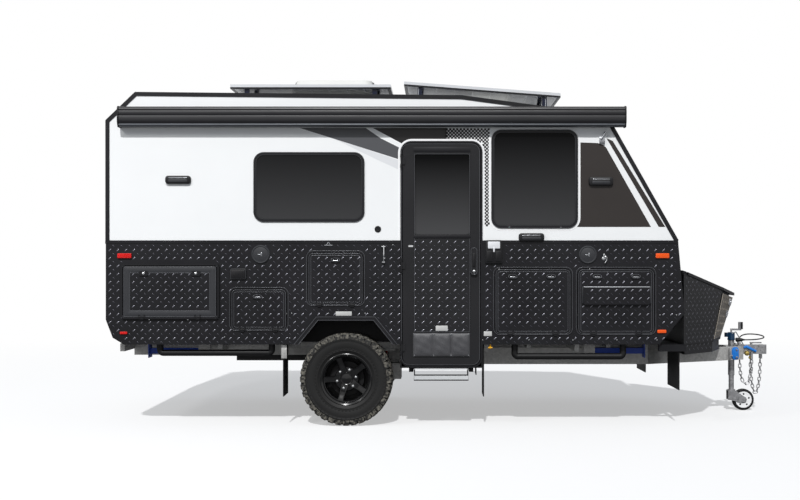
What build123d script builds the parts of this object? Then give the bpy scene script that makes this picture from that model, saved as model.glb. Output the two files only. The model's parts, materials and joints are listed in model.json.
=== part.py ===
from build123d import *
import math
import os

os.makedirs("parts", exist_ok=True)

# Driving dimensions of an off-road travel trailer, in millimetres.
# X runs forwards to the coupling, Z is height above the ground, the door side is at minus Y.
overall_length = 6000
body_length = 0.829 * overall_length
body_width = 2250
body_height = 2167
body_bottom = 708
wall = 32
plate = 4
gap = 6
seat = 0.3
overrun = 50

rear_x = -overall_length / 2
body_front_x = rear_x + body_length
nose_length = overall_length - body_length
half_width = body_width / 2
inner_half = half_width - wall
near = -1
far = 1

# Wheels
tyre_radius = 402
tyre_width = 265
track_half = 967
axle_share = 0.4145
axle_x = rear_x + axle_share * body_length

# Outline of the body in side view, clockwise from the bottom of the rear, as x and z shares
outline_shares = (
    (0.032, 0.0),
    (0.012, 0.028),
    (0.0, 0.097),
    (0.0, 0.889),
    (0.0505, 1.0),
    (0.615, 0.987),
    (0.866, 0.910),
    (0.989, 0.413),
    (1.0, 0.122),
    (0.957, 0.0),
)

# Places on the side walls: low x, high x, low z and high z shares of the body
place_shares = {
    "window_rear": (0.255, 0.447, 0.486, 0.763),
    "window_front": (0.666, 0.816, 0.461, 0.852),
    "window_far": (0.545, 0.640, 0.520, 0.700),
    "door": (0.513, 0.647, -0.083, 0.798),
    "door_window": (0.533, 0.629, 0.437, 0.756),
    "door_pouch": (0.531, 0.629, -0.048, 0.046),
    "door_handle": (0.630, 0.642, 0.276, 0.385),
    "table_hatch": (0.027, 0.196, 0.102, 0.320),
    "hatch_low": (0.213, 0.316, 0.053, 0.228),
    "hatch_mid": (0.346, 0.448, 0.152, 0.373),
    "hatch_fore": (0.669, 0.807, 0.037, 0.308),
    "hatch_front": (0.812, 0.951, 0.037, 0.308),
    "hatch_far_rear": (0.060, 0.260, 0.060, 0.320),
    "hatch_far_front": (0.700, 0.900, 0.060, 0.320),
    "hatch_shelf": (0.825, 0.939, 0.159, 0.228),
    "awning": (0.024, 0.897, 0.859, 0.940),
    "belt": (0.0, 1.0, 0.401, 0.413),
    "rear_rail": (0.084, 0.290, -0.050, -0.022),
    "front_rail": (0.702, 0.902, -0.064, -0.036),
    "step": (0.525, 0.634, -0.144, -0.100),
}


def along(share):
    return rear_x + share * body_length


def up(share):
    return body_bottom + share * body_height


def nose(share):
    return body_front_x + share * nose_length


def place(name, margin=0):
    x_low, x_high, z_low, z_high = place_shares[name]
    return along(x_low) - margin, along(x_high) + margin, up(z_low) - margin, up(z_high) + margin


def grown(bounds, margin):
    x_low, x_high, z_low, z_high = bounds
    return x_low - margin, x_high + margin, z_low - margin, z_high + margin


def shifted(points, distance):
    moved = []
    for index, point in enumerate(points):
        before = Vector(*point) - Vector(*points[index - 1])
        after = Vector(*points[(index + 1) % len(points)]) - Vector(*point)
        first = Vector(-before.Y, before.X).normalized()
        second = Vector(-after.Y, after.X).normalized()
        corner = Vector(*point) + (first + second) * (distance / (1 + first.dot(second)))
        moved.append((corner.X, corner.Y))
    return moved


def cross_plane(y):
    return Plane.XZ.offset(-y)


def layer(side, inner, outer):
    return cross_plane(max(side * inner, side * outer)), abs(outer - inner)


def span(x_low, x_high, y_low, y_high, z_low, z_high, mode=Mode.ADD):
    with Locations(((x_low + x_high) / 2, (y_low + y_high) / 2, (z_low + z_high) / 2)):
        Box(x_high - x_low, y_high - y_low, z_high - z_low, mode=mode)


def side_span(side, x_low, x_high, inner, outer, z_low, z_high, mode=Mode.ADD):
    y_low, y_high = sorted((side * inner, side * outer))
    span(x_low, x_high, y_low, y_high, z_low, z_high, mode)


def face_shape(bounds, radius, mode=Mode.ADD):
    x_low, x_high, z_low, z_high = bounds
    with Locations(((x_low + x_high) / 2, (z_low + z_high) / 2)):
        RectangleRounded(x_high - x_low, z_high - z_low, radius, mode=mode)


def side_slab(side, inner, outer, bounds, radius, mode=Mode.ADD):
    sheet, thickness = layer(side, inner, outer)
    with BuildSketch(sheet) as profile:
        face_shape(bounds, radius)
    extrude(profile.sketch, amount=thickness, mode=mode)


def side_ring(side, inner, outer, bounds, width, radius):
    sheet, thickness = layer(side, inner, outer)
    with BuildSketch(sheet) as profile:
        face_shape(grown(bounds, width), radius + width)
        face_shape(bounds, radius, Mode.SUBTRACT)
    extrude(profile.sketch, amount=thickness)


def side_cylinder(side, inner, outer, x, z, radius, mode=Mode.ADD):
    sheet, thickness = layer(side, inner, outer)
    with BuildSketch(sheet) as profile:
        with Locations((x, z)):
            Circle(radius)
    extrude(profile.sketch, amount=thickness, mode=mode)


def bar_along_x(x_low, x_high, y, z, radius, mode=Mode.ADD):
    with BuildSketch(Plane.YZ.offset(x_low)) as profile:
        with Locations((y, z)):
            Circle(radius)
    extrude(profile.sketch, amount=x_high - x_low, mode=mode)


def post(x, y, z_low, z_high, radius, mode=Mode.ADD):
    with BuildSketch(Plane.XY.offset(z_low)) as profile:
        with Locations((x, y)):
            Circle(radius)
    extrude(profile.sketch, amount=z_high - z_low, mode=mode)


def prism_across(points, y_low, y_high, mode=Mode.ADD):
    with BuildSketch(cross_plane(y_high)) as profile:
        Polygon(*points, align=None)
    extrude(profile.sketch, amount=y_high - y_low, mode=mode)


def finish(builder, label):
    builder.part.label = label
    export_step(builder.part, "parts/" + label + ".step")


outline = [(along(x_share), up(z_share)) for x_share, z_share in outline_shares]
inner_outline = shifted(outline, -wall)

# Panels between the side walls, as first and last corner of the outline
panel_corners = {
    "rear_wall": (0, 3),
    "roof_panel": (3, 6),
    "front_wall": (6, 9),
}
for name, (first, last) in panel_corners.items():
    with BuildPart() as panel:
        corners = outline[first : last + 1] + inner_outline[first : last + 1][::-1]
        prism_across(corners, -inner_half, inner_half)
    finish(panel, name)

# Wheel arch in the side wall and the housing behind it
arch_headroom = 110
arch_top_half = 238
arch_bottom_half = 405
arch_flange = 34
arch_proud = 8
housing_wall = 10
housing_margin = 30
housing_inner = track_half - tyre_width / 2 - 2 * housing_margin
arch_top = 2 * tyre_radius + arch_headroom
housing_half = arch_bottom_half + housing_margin
arch_points = [
    (axle_x - arch_bottom_half, body_bottom),
    (axle_x - arch_top_half, arch_top),
    (axle_x + arch_top_half, arch_top),
    (axle_x + arch_bottom_half, body_bottom),
]
arch_slope = (arch_bottom_half - arch_top_half) / (arch_top - body_bottom)
arch_cut = [
    (axle_x - arch_bottom_half - arch_slope * overrun, body_bottom - overrun),
    (axle_x - arch_top_half, arch_top),
    (axle_x + arch_top_half, arch_top),
    (axle_x + arch_bottom_half + arch_slope * overrun, body_bottom - overrun),
]

# Frames of the door and the hatches
flange_width = 14
flange_proud = 6
sleeve = 4
frame_radius = 60
leaf_proud = plate + flange_proud + sleeve
leaf_depth = 25
table_flange_proud = 24
table_leaf_depth = 20
table_leaf_proud = plate + table_flange_proud
door_depth = 40
door_radius = 85

hatch_sides = {
    "table_hatch": near,
    "hatch_low": near,
    "hatch_mid": near,
    "hatch_fore": near,
    "hatch_front": near,
    "hatch_far_rear": far,
    "hatch_far_front": far,
}


def hatch_opening(name):
    return place(name, -flange_width)


def hatch_leaf(name):
    return place(name, -flange_width - gap)


door_leaf_bounds = place("door")
door_opening = place("door", gap)

# Windows
window_border = 26
window_lap = 18
window_proud = 10
window_radius = 88
pane_depth = 8
window_sides = (
    ("window_rear", near),
    ("window_front", near),
    ("window_rear", far),
    ("window_front", far),
    ("window_far", far),
)


def cut_openings(side, frame_margin):
    for name, window_side in window_sides:
        if window_side == side:
            face_shape(place(name, -window_lap), window_radius - window_lap, Mode.SUBTRACT)
    for name, hatch_side in hatch_sides.items():
        if hatch_side == side and name != "table_hatch":
            face_shape(grown(hatch_opening(name), frame_margin), frame_radius, Mode.SUBTRACT)
    if side == near:
        face_shape(grown(door_opening, frame_margin), door_radius, Mode.SUBTRACT)
    Polygon(*arch_cut, align=None, mode=Mode.SUBTRACT)


# Side walls and the tread plate over their lower part
belt_low = up(place_shares["belt"][2])
belt_high = up(place_shares["belt"][3])
belt_proud = 7
for side, name in ((near, "near"), (far, "far")):
    with BuildPart() as side_wall:
        sheet, thickness = layer(side, inner_half, half_width)
        with BuildSketch(sheet):
            Polygon(*outline, align=None)
            cut_openings(side, sleeve + seat)
        extrude(amount=thickness)
    finish(side_wall, "wall_" + name)

    with BuildPart() as cladding:
        layers = ((plate, 0, sleeve + seat), (belt_proud, belt_low, flange_width + seat))
        for proud, z_low, margin in layers:
            sheet, thickness = layer(side, half_width, half_width + proud)
            with BuildSketch(sheet):
                Polygon(*outline, align=None)
                with BuildLine():
                    Polyline(
                        (rear_x - overrun, z_low),
                        (body_front_x + overrun, z_low),
                        (body_front_x + overrun, belt_high),
                        (rear_x - overrun, belt_high),
                        close=True,
                    )
                make_face(mode=Mode.INTERSECT)
                cut_openings(side, margin)
            extrude(amount=thickness)
    finish(cladding, "cladding_" + name)

# Floor, cut round the wheel housings and the entry well
well_wall = 12
well_depth = 480
well_inner = half_width - wall - well_depth
well_x_low = door_opening[0] - sleeve
well_x_high = door_opening[1] + sleeve
well_floor = door_opening[2] - sleeve
floor_top = body_bottom + wall
with BuildPart() as floor_panel:
    corners = [outline[-1], outline[0], inner_outline[0], inner_outline[-1]]
    prism_across(corners, -inner_half, inner_half)
    for side in (near, far):
        side_span(
            side,
            axle_x - housing_half - housing_wall,
            axle_x + housing_half + housing_wall,
            housing_inner - housing_wall,
            half_width,
            body_bottom - overrun,
            floor_top + overrun,
            Mode.SUBTRACT,
        )
    side_span(
        near,
        well_x_low - well_wall,
        well_x_high + well_wall,
        well_inner - well_wall,
        half_width,
        body_bottom - overrun,
        floor_top + overrun,
        Mode.SUBTRACT,
    )
finish(floor_panel, "floor_panel")

# Wheel housings, open to the road and to the side
with BuildPart() as wheel_housings:
    for side in (near, far):
        side_span(
            side,
            axle_x - housing_half - housing_wall,
            axle_x + housing_half + housing_wall,
            housing_inner - housing_wall,
            inner_half,
            body_bottom,
            arch_top + housing_margin + housing_wall,
        )
        side_span(
            side,
            axle_x - housing_half,
            axle_x + housing_half,
            housing_inner,
            inner_half + overrun,
            body_bottom - overrun,
            arch_top + housing_margin,
            Mode.SUBTRACT,
        )
finish(wheel_housings, "wheel_housings")

# Step under the door and its runners
step_low, step_high = up(place_shares["step"][2]), up(place_shares["step"][3])
step_x_low, step_x_high = along(place_shares["step"][0]), along(place_shares["step"][1])
step_bar = 30
step_plate = 6
step_depth = 320
step_outer = half_width - wall
step_inner = step_outer - step_depth
runner_web = 6
runner_play = 1
well_bottom = well_floor - well_wall
runner_low = well_bottom - step_bar - runner_play - seat - runner_web

with BuildPart() as entry_well:
    side_span(
        near,
        well_x_low - well_wall,
        well_x_high + well_wall,
        well_inner - well_wall,
        inner_half,
        well_bottom,
        floor_top,
    )
    side_span(
        near,
        well_x_low - well_wall,
        well_x_high + well_wall,
        inner_half - well_wall,
        half_width + plate,
        well_bottom,
        body_bottom,
    )
    side_span(
        near,
        well_x_low,
        well_x_high,
        well_inner,
        half_width + overrun,
        well_floor,
        floor_top + overrun,
        Mode.SUBTRACT,
    )
    for x_low, x_high in (
        (step_x_low - runner_play - runner_web, step_x_low + step_bar),
        (step_x_high - step_bar, step_x_high + runner_play + runner_web),
    ):
        side_span(near, x_low, x_high, step_inner, step_outer, runner_low, well_bottom)
    side_span(
        near,
        step_x_low - runner_play,
        step_x_high + runner_play,
        step_inner - overrun,
        step_outer + overrun,
        runner_low + runner_web,
        well_bottom,
        Mode.SUBTRACT,
    )
finish(entry_well, "entry_well")

with BuildPart() as step:
    bar_low = runner_low + runner_web + seat
    bar_high = bar_low + step_bar
    tread_high = step_low + step_bar
    for x_low, x_high in (
        (step_x_low, step_x_low + step_bar - step_plate),
        (step_x_high - step_bar + step_plate, step_x_high),
    ):
        side_span(near, x_low, x_high, step_inner, step_outer, bar_low, bar_high)
    link_inner = step_inner + step_depth / 3
    for x_low in (step_x_low + step_bar + step_plate, step_x_high - step_bar - 2 * step_plate):
        side_span(near, x_low, x_low + step_plate, link_inner, step_outer, step_low, bar_high)
    for y in (step_inner, step_outer - step_bar):
        side_span(near, step_x_low, step_x_high, y, y + step_bar, bar_high - step_plate, bar_high)
    side_span(
        near,
        step_x_low + step_bar + step_plate,
        step_x_high - step_bar - step_plate,
        link_inner,
        step_outer + step_bar,
        step_low,
        tread_high,
    )
finish(step, "step")

# Black trim over the body's upper corners, from the belt at the rear to the belt at the front
trim_face = 30
trim_proud = 5
outer_trim = shifted(outline, trim_proud)
inner_trim = shifted(outline, -trim_face)
trim_start = (rear_x - trim_proud, belt_high)
trim_start_inner = (rear_x + trim_face, belt_high)
front_slope = (outline[7][0] - outline[6][0]) / (outline[7][1] - outline[6][1])


def slope_point(points, z):
    x, top = points[6]
    return x + front_slope * (z - top), z


with BuildPart() as edge_trim:
    outer_points = [trim_start] + outer_trim[3:7] + [slope_point(outer_trim, belt_high)]
    inner_points = [trim_start_inner] + inner_trim[3:7] + [slope_point(inner_trim, belt_high)]
    seat_points = [(rear_x, belt_high)] + outline[3:7] + [slope_point(outline, belt_high)]
    for side in (near, far):
        sheet, thickness = layer(side, half_width, half_width + trim_proud)
        with BuildSketch(sheet):
            Polygon(*(outer_points + inner_points[::-1]), align=None)
        extrude(amount=thickness)
        sheet, thickness = layer(side, half_width - trim_face, half_width)
        with BuildSketch(sheet):
            Polygon(*(outer_points + seat_points[::-1]), align=None)
        extrude(amount=thickness)
        sheet, thickness = layer(side, half_width + plate, half_width + plate + arch_proud)
        with BuildSketch(sheet):
            Polygon(
                (arch_points[0][0] - arch_flange, body_bottom),
                (arch_points[1][0] - arch_flange * arch_slope, arch_top + arch_flange),
                (arch_points[2][0] + arch_flange * arch_slope, arch_top + arch_flange),
                (arch_points[3][0] + arch_flange, body_bottom),
                align=None,
            )
            Polygon(*arch_cut, align=None, mode=Mode.SUBTRACT)
        extrude(amount=thickness)
finish(edge_trim, "edge_trim")

# Window frames with their sleeves, and the panes
with BuildPart() as window_frames:
    for name, side in window_sides:
        inner_bounds = place(name, -window_border)
        inner_radius = window_radius - window_border
        side_ring(side, half_width, half_width + window_proud, inner_bounds, window_border, inner_radius)
        side_ring(
            side,
            inner_half,
            half_width,
            inner_bounds,
            window_border - window_lap - seat,
            inner_radius,
        )
finish(window_frames, "window_frames")

with BuildPart() as window_panes:
    for name, side in window_sides:
        pane = place(name, -window_border - seat)
        pane_low = half_width - pane_depth / 4
        side_slab(side, pane_low, pane_low + pane_depth, pane, window_radius - window_border)
finish(window_panes, "window_panes")

# Hinges: the pin stands outside the leaf's face and just past its edge
knuckle_radius = 5
knuckle_length = 30
hinge_proud = 5
hinge_drop = 4
hinge_leaf = 20
bite = 2
hinge_places_share = (0.2, 0.8)


def hatch_face(name):
    return table_leaf_proud if name == "table_hatch" else leaf_proud


def hatch_axis(name):
    return half_width + hatch_face(name) + hinge_proud, hatch_leaf(name)[2] - hinge_drop


def hinge_stations(name):
    x_low, x_high, _, _ = hatch_leaf(name)
    return [x_low + share * (x_high - x_low) for share in hinge_places_share]


def hatch_hinges(name, side, on_leaf):
    depth, height = hatch_axis(name)
    for x in hinge_stations(name):
        if on_leaf:
            spans = [(x - knuckle_length, x - seat - knuckle_length / 2)]
            spans.append((x + seat + knuckle_length / 2, x + knuckle_length))
            z_low, z_high = height, height + hinge_leaf
            inner = depth - hinge_proud - bite
        else:
            spans = [(x - knuckle_length / 2, x + knuckle_length / 2)]
            z_low, z_high = height - hinge_leaf, height
            flange = table_flange_proud if name == "table_hatch" else flange_proud
            inner = half_width + plate + flange - bite
        for x_low, x_high in spans:
            bar_along_x(x_low, x_high, side * depth, height, knuckle_radius)
            side_span(side, x_low, x_high, inner, depth, z_low, z_high)


door_hinge_radius = 7
door_hinge_length = 60
door_hinge_proud = 10
door_hinge_back = 8
door_face = half_width + leaf_proud
door_axis_x = door_leaf_bounds[0] - door_hinge_back
door_axis_y = -(door_face + door_hinge_proud)
door_hinge_shares = (0.08, 0.45, 0.92)


def door_hinges(on_leaf):
    _, _, z_low, z_high = door_leaf_bounds
    for share in door_hinge_shares:
        z = z_low + share * (z_high - z_low)
        if on_leaf:
            spans = [(z - door_hinge_length / 2, z + door_hinge_length / 2)]
            x_low, x_high = door_axis_x, door_leaf_bounds[0] + hinge_leaf
            inner = door_face - bite
        else:
            spans = [(z - door_hinge_length, z - seat - door_hinge_length / 2)]
            spans.append((z + seat + door_hinge_length / 2, z + door_hinge_length))
            x_low, x_high = door_axis_x - flange_width, door_axis_x
            inner = half_width + plate + flange_proud - bite
        for bottom, top in spans:
            post(door_axis_x, door_axis_y, bottom, top, door_hinge_radius)
            side_span(near, x_low, x_high, inner, -door_axis_y, bottom, top)


# Frames round the hatches and the door
with BuildPart() as hatch_frames:
    face_of_plate = half_width + plate
    for name, side in hatch_sides.items():
        opening = hatch_opening(name)
        radius = frame_radius - sleeve
        if name == "table_hatch":
            proud = face_of_plate + table_flange_proud
            side_ring(side, face_of_plate, proud, opening, flange_width, radius / 4)
        else:
            proud = face_of_plate + flange_proud
            side_ring(side, face_of_plate, proud, opening, flange_width, radius)
            side_ring(side, inner_half, face_of_plate, opening, sleeve, radius)
        hatch_hinges(name, side, False)
finish(hatch_frames, "hatch_frames")

with BuildPart() as door_frame:
    radius = door_radius - sleeve
    proud = face_of_plate + flange_proud
    side_ring(near, face_of_plate, proud, door_opening, flange_width, radius)
    side_ring(near, inner_half, face_of_plate, door_opening, sleeve, radius)
    door_hinges(False)
finish(door_frame, "door_frame")

# Hatch leaves with their latches, as x shares of each leaf
latch_shares = {
    "table_hatch": (0.22, 0.78),
    "hatch_low": (0.48,),
    "hatch_mid": (0.5,),
    "hatch_fore": (0.23, 0.74),
    "hatch_front": (0.25, 0.76),
    "hatch_far_rear": (0.25, 0.75),
    "hatch_far_front": (0.25, 0.75),
}
latch_length = 80
latch_height = 42
latch_proud = 10
latch_drop = 62
shelf_proud = 26
for name, side in hatch_sides.items():
    with BuildPart() as hatch:
        bounds = hatch_leaf(name)
        face = half_width + hatch_face(name)
        depth = table_leaf_depth if name == "table_hatch" else leaf_depth
        radius = (frame_radius - sleeve - gap) / (4 if name == "table_hatch" else 1)
        side_slab(side, face - depth, face, bounds, radius)
        for share in latch_shares[name]:
            x = bounds[0] + share * (bounds[1] - bounds[0])
            z = bounds[3] - latch_drop
            latch = (x - latch_length / 2, x + latch_length / 2, z - latch_height / 2, z + latch_height / 2)
            side_slab(side, face - bite, face + latch_proud, latch, latch_height / 3)
        if name == "hatch_front":
            side_slab(side, face - bite, face + shelf_proud, place("hatch_shelf"), latch_height / 3)
        hatch_hinges(name, side, True)
    finish(hatch, name)

# Door
handle_proud = 24
pouch_proud = 28
with BuildPart() as door_leaf:
    side_slab(near, door_face - door_depth, door_face, door_leaf_bounds, door_radius - sleeve - gap)
    side_slab(
        near,
        door_face - door_depth - overrun,
        door_face + overrun,
        place("door_window"),
        window_radius / 3,
        Mode.SUBTRACT,
    )
    side_slab(near, door_face - bite, door_face + handle_proud, place("door_handle"), latch_height / 2)
    door_hinges(True)
finish(door_leaf, "door_leaf")

with BuildPart() as door_pane:
    pane_low = door_face - door_depth / 2
    side_slab(near, pane_low, pane_low + pane_depth, place("door_window", -seat), window_radius / 3)
finish(door_pane, "door_pane")

with BuildPart() as door_pouch:
    x_low, x_high, z_low, z_high = place("door_pouch")
    side_span(near, x_low, x_high, door_face + seat, door_face + pouch_proud, z_low, z_high)
    fillet(door_pouch.edges().filter_by(Axis.X).group_by(Axis.Y)[0], pouch_proud / 3)
finish(door_pouch, "door_pouch")

# Chassis rails, shallower behind the axle, with the trailing arms' pivot brackets and the spring towers
rail_share = 0.489
rail_y = rail_share * half_width
rail_width = 50
rail_low = 490
rail_high = 640
rail_wall = 6
rail_kick = 85
kick_behind = 300
kick_ahead = 100
rail_rear_share = 0.02
nose_beam_share = 0.947
rail_outer = rail_y + rail_width / 2
rail_inner = rail_y - rail_width / 2
rail_rear_x = along(rail_rear_share)
nose_beam_x = along(nose_beam_share)

arm_pivot_ahead = 410
arm_pivot_z = 425
arm_pivot_radius = 35
arm_pin_radius = 12
arm_pivot_inner = rail_outer + 2 * rail_wall
arm_pivot_outer = arm_pivot_inner + 2.5 * rail_width
bracket_half = 55
bracket_plate = 10
bracket_low = arm_pivot_z - bracket_half
tower_rear = 90
tower_front = 410
tower_height = 15
strut_y = 690
with BuildPart() as chassis_rails:
    for side in (near, far):
        rail_side = [
            (rail_rear_x, rail_low + rail_kick),
            (axle_x - kick_behind, rail_low + rail_kick),
            (axle_x + kick_ahead, rail_low),
            (nose_beam_x, rail_low),
            (nose_beam_x, rail_high),
            (rail_rear_x, rail_high),
        ]
        prism_across(rail_side, *sorted((side * rail_inner, side * rail_outer)))
        x = axle_x + arm_pivot_ahead
        x_low, x_high = x - bracket_half, x + bracket_half
        top_low = arm_pivot_z + arm_pivot_radius + bracket_plate
        for y in (arm_pivot_inner - bracket_plate - seat, arm_pivot_outer + seat):
            side_span(side, x_low, x_high, y, y + bracket_plate, bracket_low, top_low + bracket_plate)
        bracket_outer = arm_pivot_outer + seat + bracket_plate
        side_span(
            side, x_low, x_high, rail_inner, bracket_outer, top_low, top_low + 4 * bracket_plate
        )
        pin_inner = arm_pivot_inner - bracket_plate
        side_cylinder(side, pin_inner, bracket_outer, x, arm_pivot_z, arm_pin_radius)
        side_span(
            side,
            axle_x + tower_rear,
            axle_x + tower_front,
            rail_outer - rail_wall,
            strut_y + bracket_half,
            rail_high - tower_height,
            rail_high,
        )
finish(chassis_rails, "chassis_rails")

# Cross members on the rails under the floor, full width or between the rails, as x shares
wide_member_shares = (0.022, 0.193, 0.301, 0.658, 0.817)
short_member_shares = (0.110, 0.352, 0.477, 0.585, 0.740, 0.885)
member_width = 40
side_tube_radius = 28
side_tube_y = half_width - 3 * side_tube_radius
member_half = side_tube_y - side_tube_radius - gap
nose_beam_width = 50
leg_y = 850
leg_size = 50
leg_pivot_z = 634
leg_length = 480
leg_cheek = 6
leg_play = 1
leg_pin_radius = 8
leg_foot = 118
leg_foot_plate = 8
leg_reach_down = 30
# Leg pivots: x share and the way that the stowed foot points
leg_places = {
    "leg_rear_near": (0.160, near, -1),
    "leg_rear_far": (0.160, far, -1),
    "leg_front_near": (0.842, near, 1),
    "leg_front_far": (0.842, far, 1),
}
with BuildPart() as cross_members:
    for share in wide_member_shares:
        x = along(share)
        span(
            x - member_width / 2,
            x + member_width / 2,
            -member_half,
            member_half,
            rail_high,
            body_bottom,
        )
    for share in short_member_shares:
        x = along(share)
        span(
            x - member_width / 2,
            x + member_width / 2,
            -rail_outer,
            rail_outer,
            rail_high,
            body_bottom,
        )
    for x_share, side, _ in leg_places.values():
        x = along(x_share)
        for y in (leg_y - leg_size / 2 - leg_play - leg_cheek, leg_y + leg_size / 2 + leg_play):
            side_span(
                side,
                x - leg_size,
                x + leg_size,
                y,
                y + leg_cheek,
                leg_pivot_z - leg_reach_down,
                body_bottom,
            )
        cheek_inner = leg_y - leg_size / 2 - leg_play - leg_cheek
        cheek_outer = leg_y + leg_size / 2 + leg_play + leg_cheek
        side_cylinder(side, cheek_inner, cheek_outer, x, leg_pivot_z, leg_pin_radius)
    span(
        nose_beam_x,
        nose_beam_x + nose_beam_width,
        -rail_outer,
        rail_outer,
        rail_low,
        body_bottom,
    )
finish(cross_members, "cross_members")

# Corner legs, stowed flat under the floor
for name, (x_share, side, way) in leg_places.items():
    with BuildPart() as leg:
        pivot_x = along(x_share)
        foot_x = pivot_x + way * leg_length
        x_low, x_high = sorted((pivot_x, foot_x))
        inner, outer = leg_y - leg_size / 2, leg_y + leg_size / 2
        leg_low, leg_high = leg_pivot_z - leg_size / 2, leg_pivot_z + leg_size / 2
        side_span(side, x_low, x_high, inner, outer, leg_low, leg_high)
        side_cylinder(side, inner, outer, pivot_x, leg_pivot_z, leg_size / 2)
        side_cylinder(
            side,
            inner - overrun,
            outer + overrun,
            pivot_x,
            leg_pivot_z,
            leg_pin_radius + seat,
            Mode.SUBTRACT,
        )
        foot_low, foot_high = sorted((foot_x, foot_x + way * leg_foot_plate))
        side_span(
            side,
            foot_low,
            foot_high,
            leg_y - leg_foot / 2,
            leg_y + leg_foot / 2,
            leg_pivot_z - leg_foot / 2,
            leg_pivot_z + leg_foot / 2,
        )
    finish(leg, name)

# Side rails below the body, with bent ends up to hangers
with BuildPart() as side_rails:
    for side in (near, far):
        for name in ("rear_rail", "front_rail"):
            x_low, x_high, z_low, z_high = place(name)
            z = (z_low + z_high) / 2
            y = side * side_tube_y
            bend = side_tube_radius * 2
            with BuildLine() as path:
                FilletPolyline(
                    (x_low + side_tube_radius, y, body_bottom),
                    (x_low + side_tube_radius, y, z),
                    (x_high - side_tube_radius, y, z),
                    (x_high - side_tube_radius, y, body_bottom),
                    radius=bend / 2 + seat,
                )
            with BuildSketch(Plane(origin=path.line @ 0, z_dir=path.line % 0)):
                Circle(side_tube_radius)
            sweep()
finish(side_rails, "side_rails")

# Mudflaps hung on the cross members: x share of the member's front or rear face, low z
flap_depth = 8
flap_inner = 800
flap_outer = half_width - wall
flap_low = 256
front_flap_inner = 560
front_flap_low = 306
with BuildPart() as mudflaps:
    for side in (near, far):
        x = along(wide_member_shares[2]) + member_width / 2
        side_span(side, x, x + flap_depth, flap_inner, flap_outer, flap_low, body_bottom)
        x = along(wide_member_shares[3]) - member_width / 2 - flap_depth
        side_span(side, x, x + flap_depth, flap_inner, flap_outer, flap_low, body_bottom)
finish(mudflaps, "mudflaps")

# Toolbox on the drawbar: plan corners as shares of the nose length and of the half width
box_low_shares = ((0.0, 0.978), (0.333, 0.662), (0.474, 0.355))
box_high_shares = ((0.0, 0.978), (0.452, 0.540), (0.593, 0.355))
box_bottom = 705
box_rear_top = 1320
box_front_top_drop = 210
box_wall = 12
box_back = body_front_x + seat
lid_depth = 25
lid_rear_gap = 45
lid_lap = 8
drawbar_high = 615
drawbar_width = 55
subframe_rear_x = nose_beam_x + nose_beam_width + seat
subframe_low = 645
subframe_outer = box_low_shares[0][1] * half_width - box_wall
flap_x = box_back - 33


def box_corners(shares, inset):
    points = []
    for x_share, y_share in shares:
        points.append((box_back + x_share * nose_length, y_share * half_width))
    points += [(x, -y) for x, y in reversed(points)]
    return shifted(points, -inset)


def box_body(inset, mode=Mode.ADD):
    with BuildSketch(Plane.XY.offset(box_bottom)) as low_profile:
        Polygon(*box_corners(box_low_shares, inset), align=None)
    with BuildSketch(Plane.XY.offset(box_rear_top)) as high_profile:
        Polygon(*box_corners(box_high_shares, inset), align=None)
    loft([low_profile.sketch, high_profile.sketch], ruled=True, mode=mode)


lid_slope = box_front_top_drop / (box_high_shares[2][0] * nose_length)


def lid_height(x, lift):
    return box_rear_top + lift - (x - box_back) * lid_slope


def above_lid_line(lift, height, x_low, x_high, mode):
    corners = [
        (x_low, lid_height(x_low, lift)),
        (x_high, lid_height(x_high, lift)),
        (x_high, lid_height(x_high, lift) + height),
        (x_low, lid_height(x_low, lift) + height),
    ]
    prism_across(corners, -half_width, half_width, mode)


box_far_x = nose(1)
lid_x = box_back + lid_rear_gap
lid_axis_x = lid_x - gap
lid_axis_z = lid_height(lid_x, lid_depth) + hinge_proud
lid_hinge_shares = (-0.6, 0.6)
strip_end = box_back + lid_rear_gap - 2 * gap
strip_half = box_high_shares[0][1] * half_width - lid_rear_gap


def lid_hinges(on_leaf):
    for share in lid_hinge_shares:
        y = share * strip_half
        if on_leaf:
            spans = [(y - knuckle_length, y + knuckle_length)]
            x_low, x_high = lid_axis_x, lid_x + gap
            z_low = lid_axis_z - hinge_proud - bite
        else:
            spans = [(y - 2 * knuckle_length, y - knuckle_length - seat)]
            spans.append((y + knuckle_length + seat, y + 2 * knuckle_length))
            x_low, x_high = strip_end - 2 * gap, lid_axis_x
            z_low = lid_axis_z - 2 * hinge_proud
        for y_low, y_high in spans:
            side_cylinder(far, y_low, y_high, lid_axis_x, lid_axis_z, knuckle_radius)
            span(x_low, x_high, y_low, y_high, z_low, lid_axis_z)


with BuildPart() as toolbox_shell:
    box_body(0)
    box_body(box_wall, Mode.SUBTRACT)
    with BuildSketch(Plane.XY.offset(box_bottom)):
        Polygon(*box_corners(box_low_shares, 0), align=None)
    extrude(amount=box_wall)
    above_lid_line(0, box_rear_top, box_back - overrun, box_far_x, Mode.SUBTRACT)
    strip = [
        (box_back, lid_height(box_back, -box_wall)),
        (strip_end, lid_height(strip_end, -box_wall)),
        (strip_end, lid_height(strip_end, lid_depth)),
        (box_back, lid_height(box_back, lid_depth)),
    ]
    prism_across(strip, -strip_half, strip_half)
    lid_hinges(False)
    with BuildSketch(Plane.XY.offset(drawbar_high)):
        Polygon(*box_corners(box_low_shares, box_wall), align=None)
        Polygon(*box_corners(box_low_shares, box_wall + member_width), align=None, mode=Mode.SUBTRACT)
    extrude(amount=box_bottom - drawbar_high)
    for side in (near, far):
        side_span(
            side,
            subframe_rear_x,
            box_back + 2 * box_wall,
            subframe_outer - member_width,
            subframe_outer,
            subframe_low,
            box_bottom,
        )
    span(
        flap_x - member_width / 2,
        flap_x,
        -subframe_outer,
        subframe_outer,
        subframe_low,
        box_bottom - seat,
    )
finish(toolbox_shell, "toolbox_shell")

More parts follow.
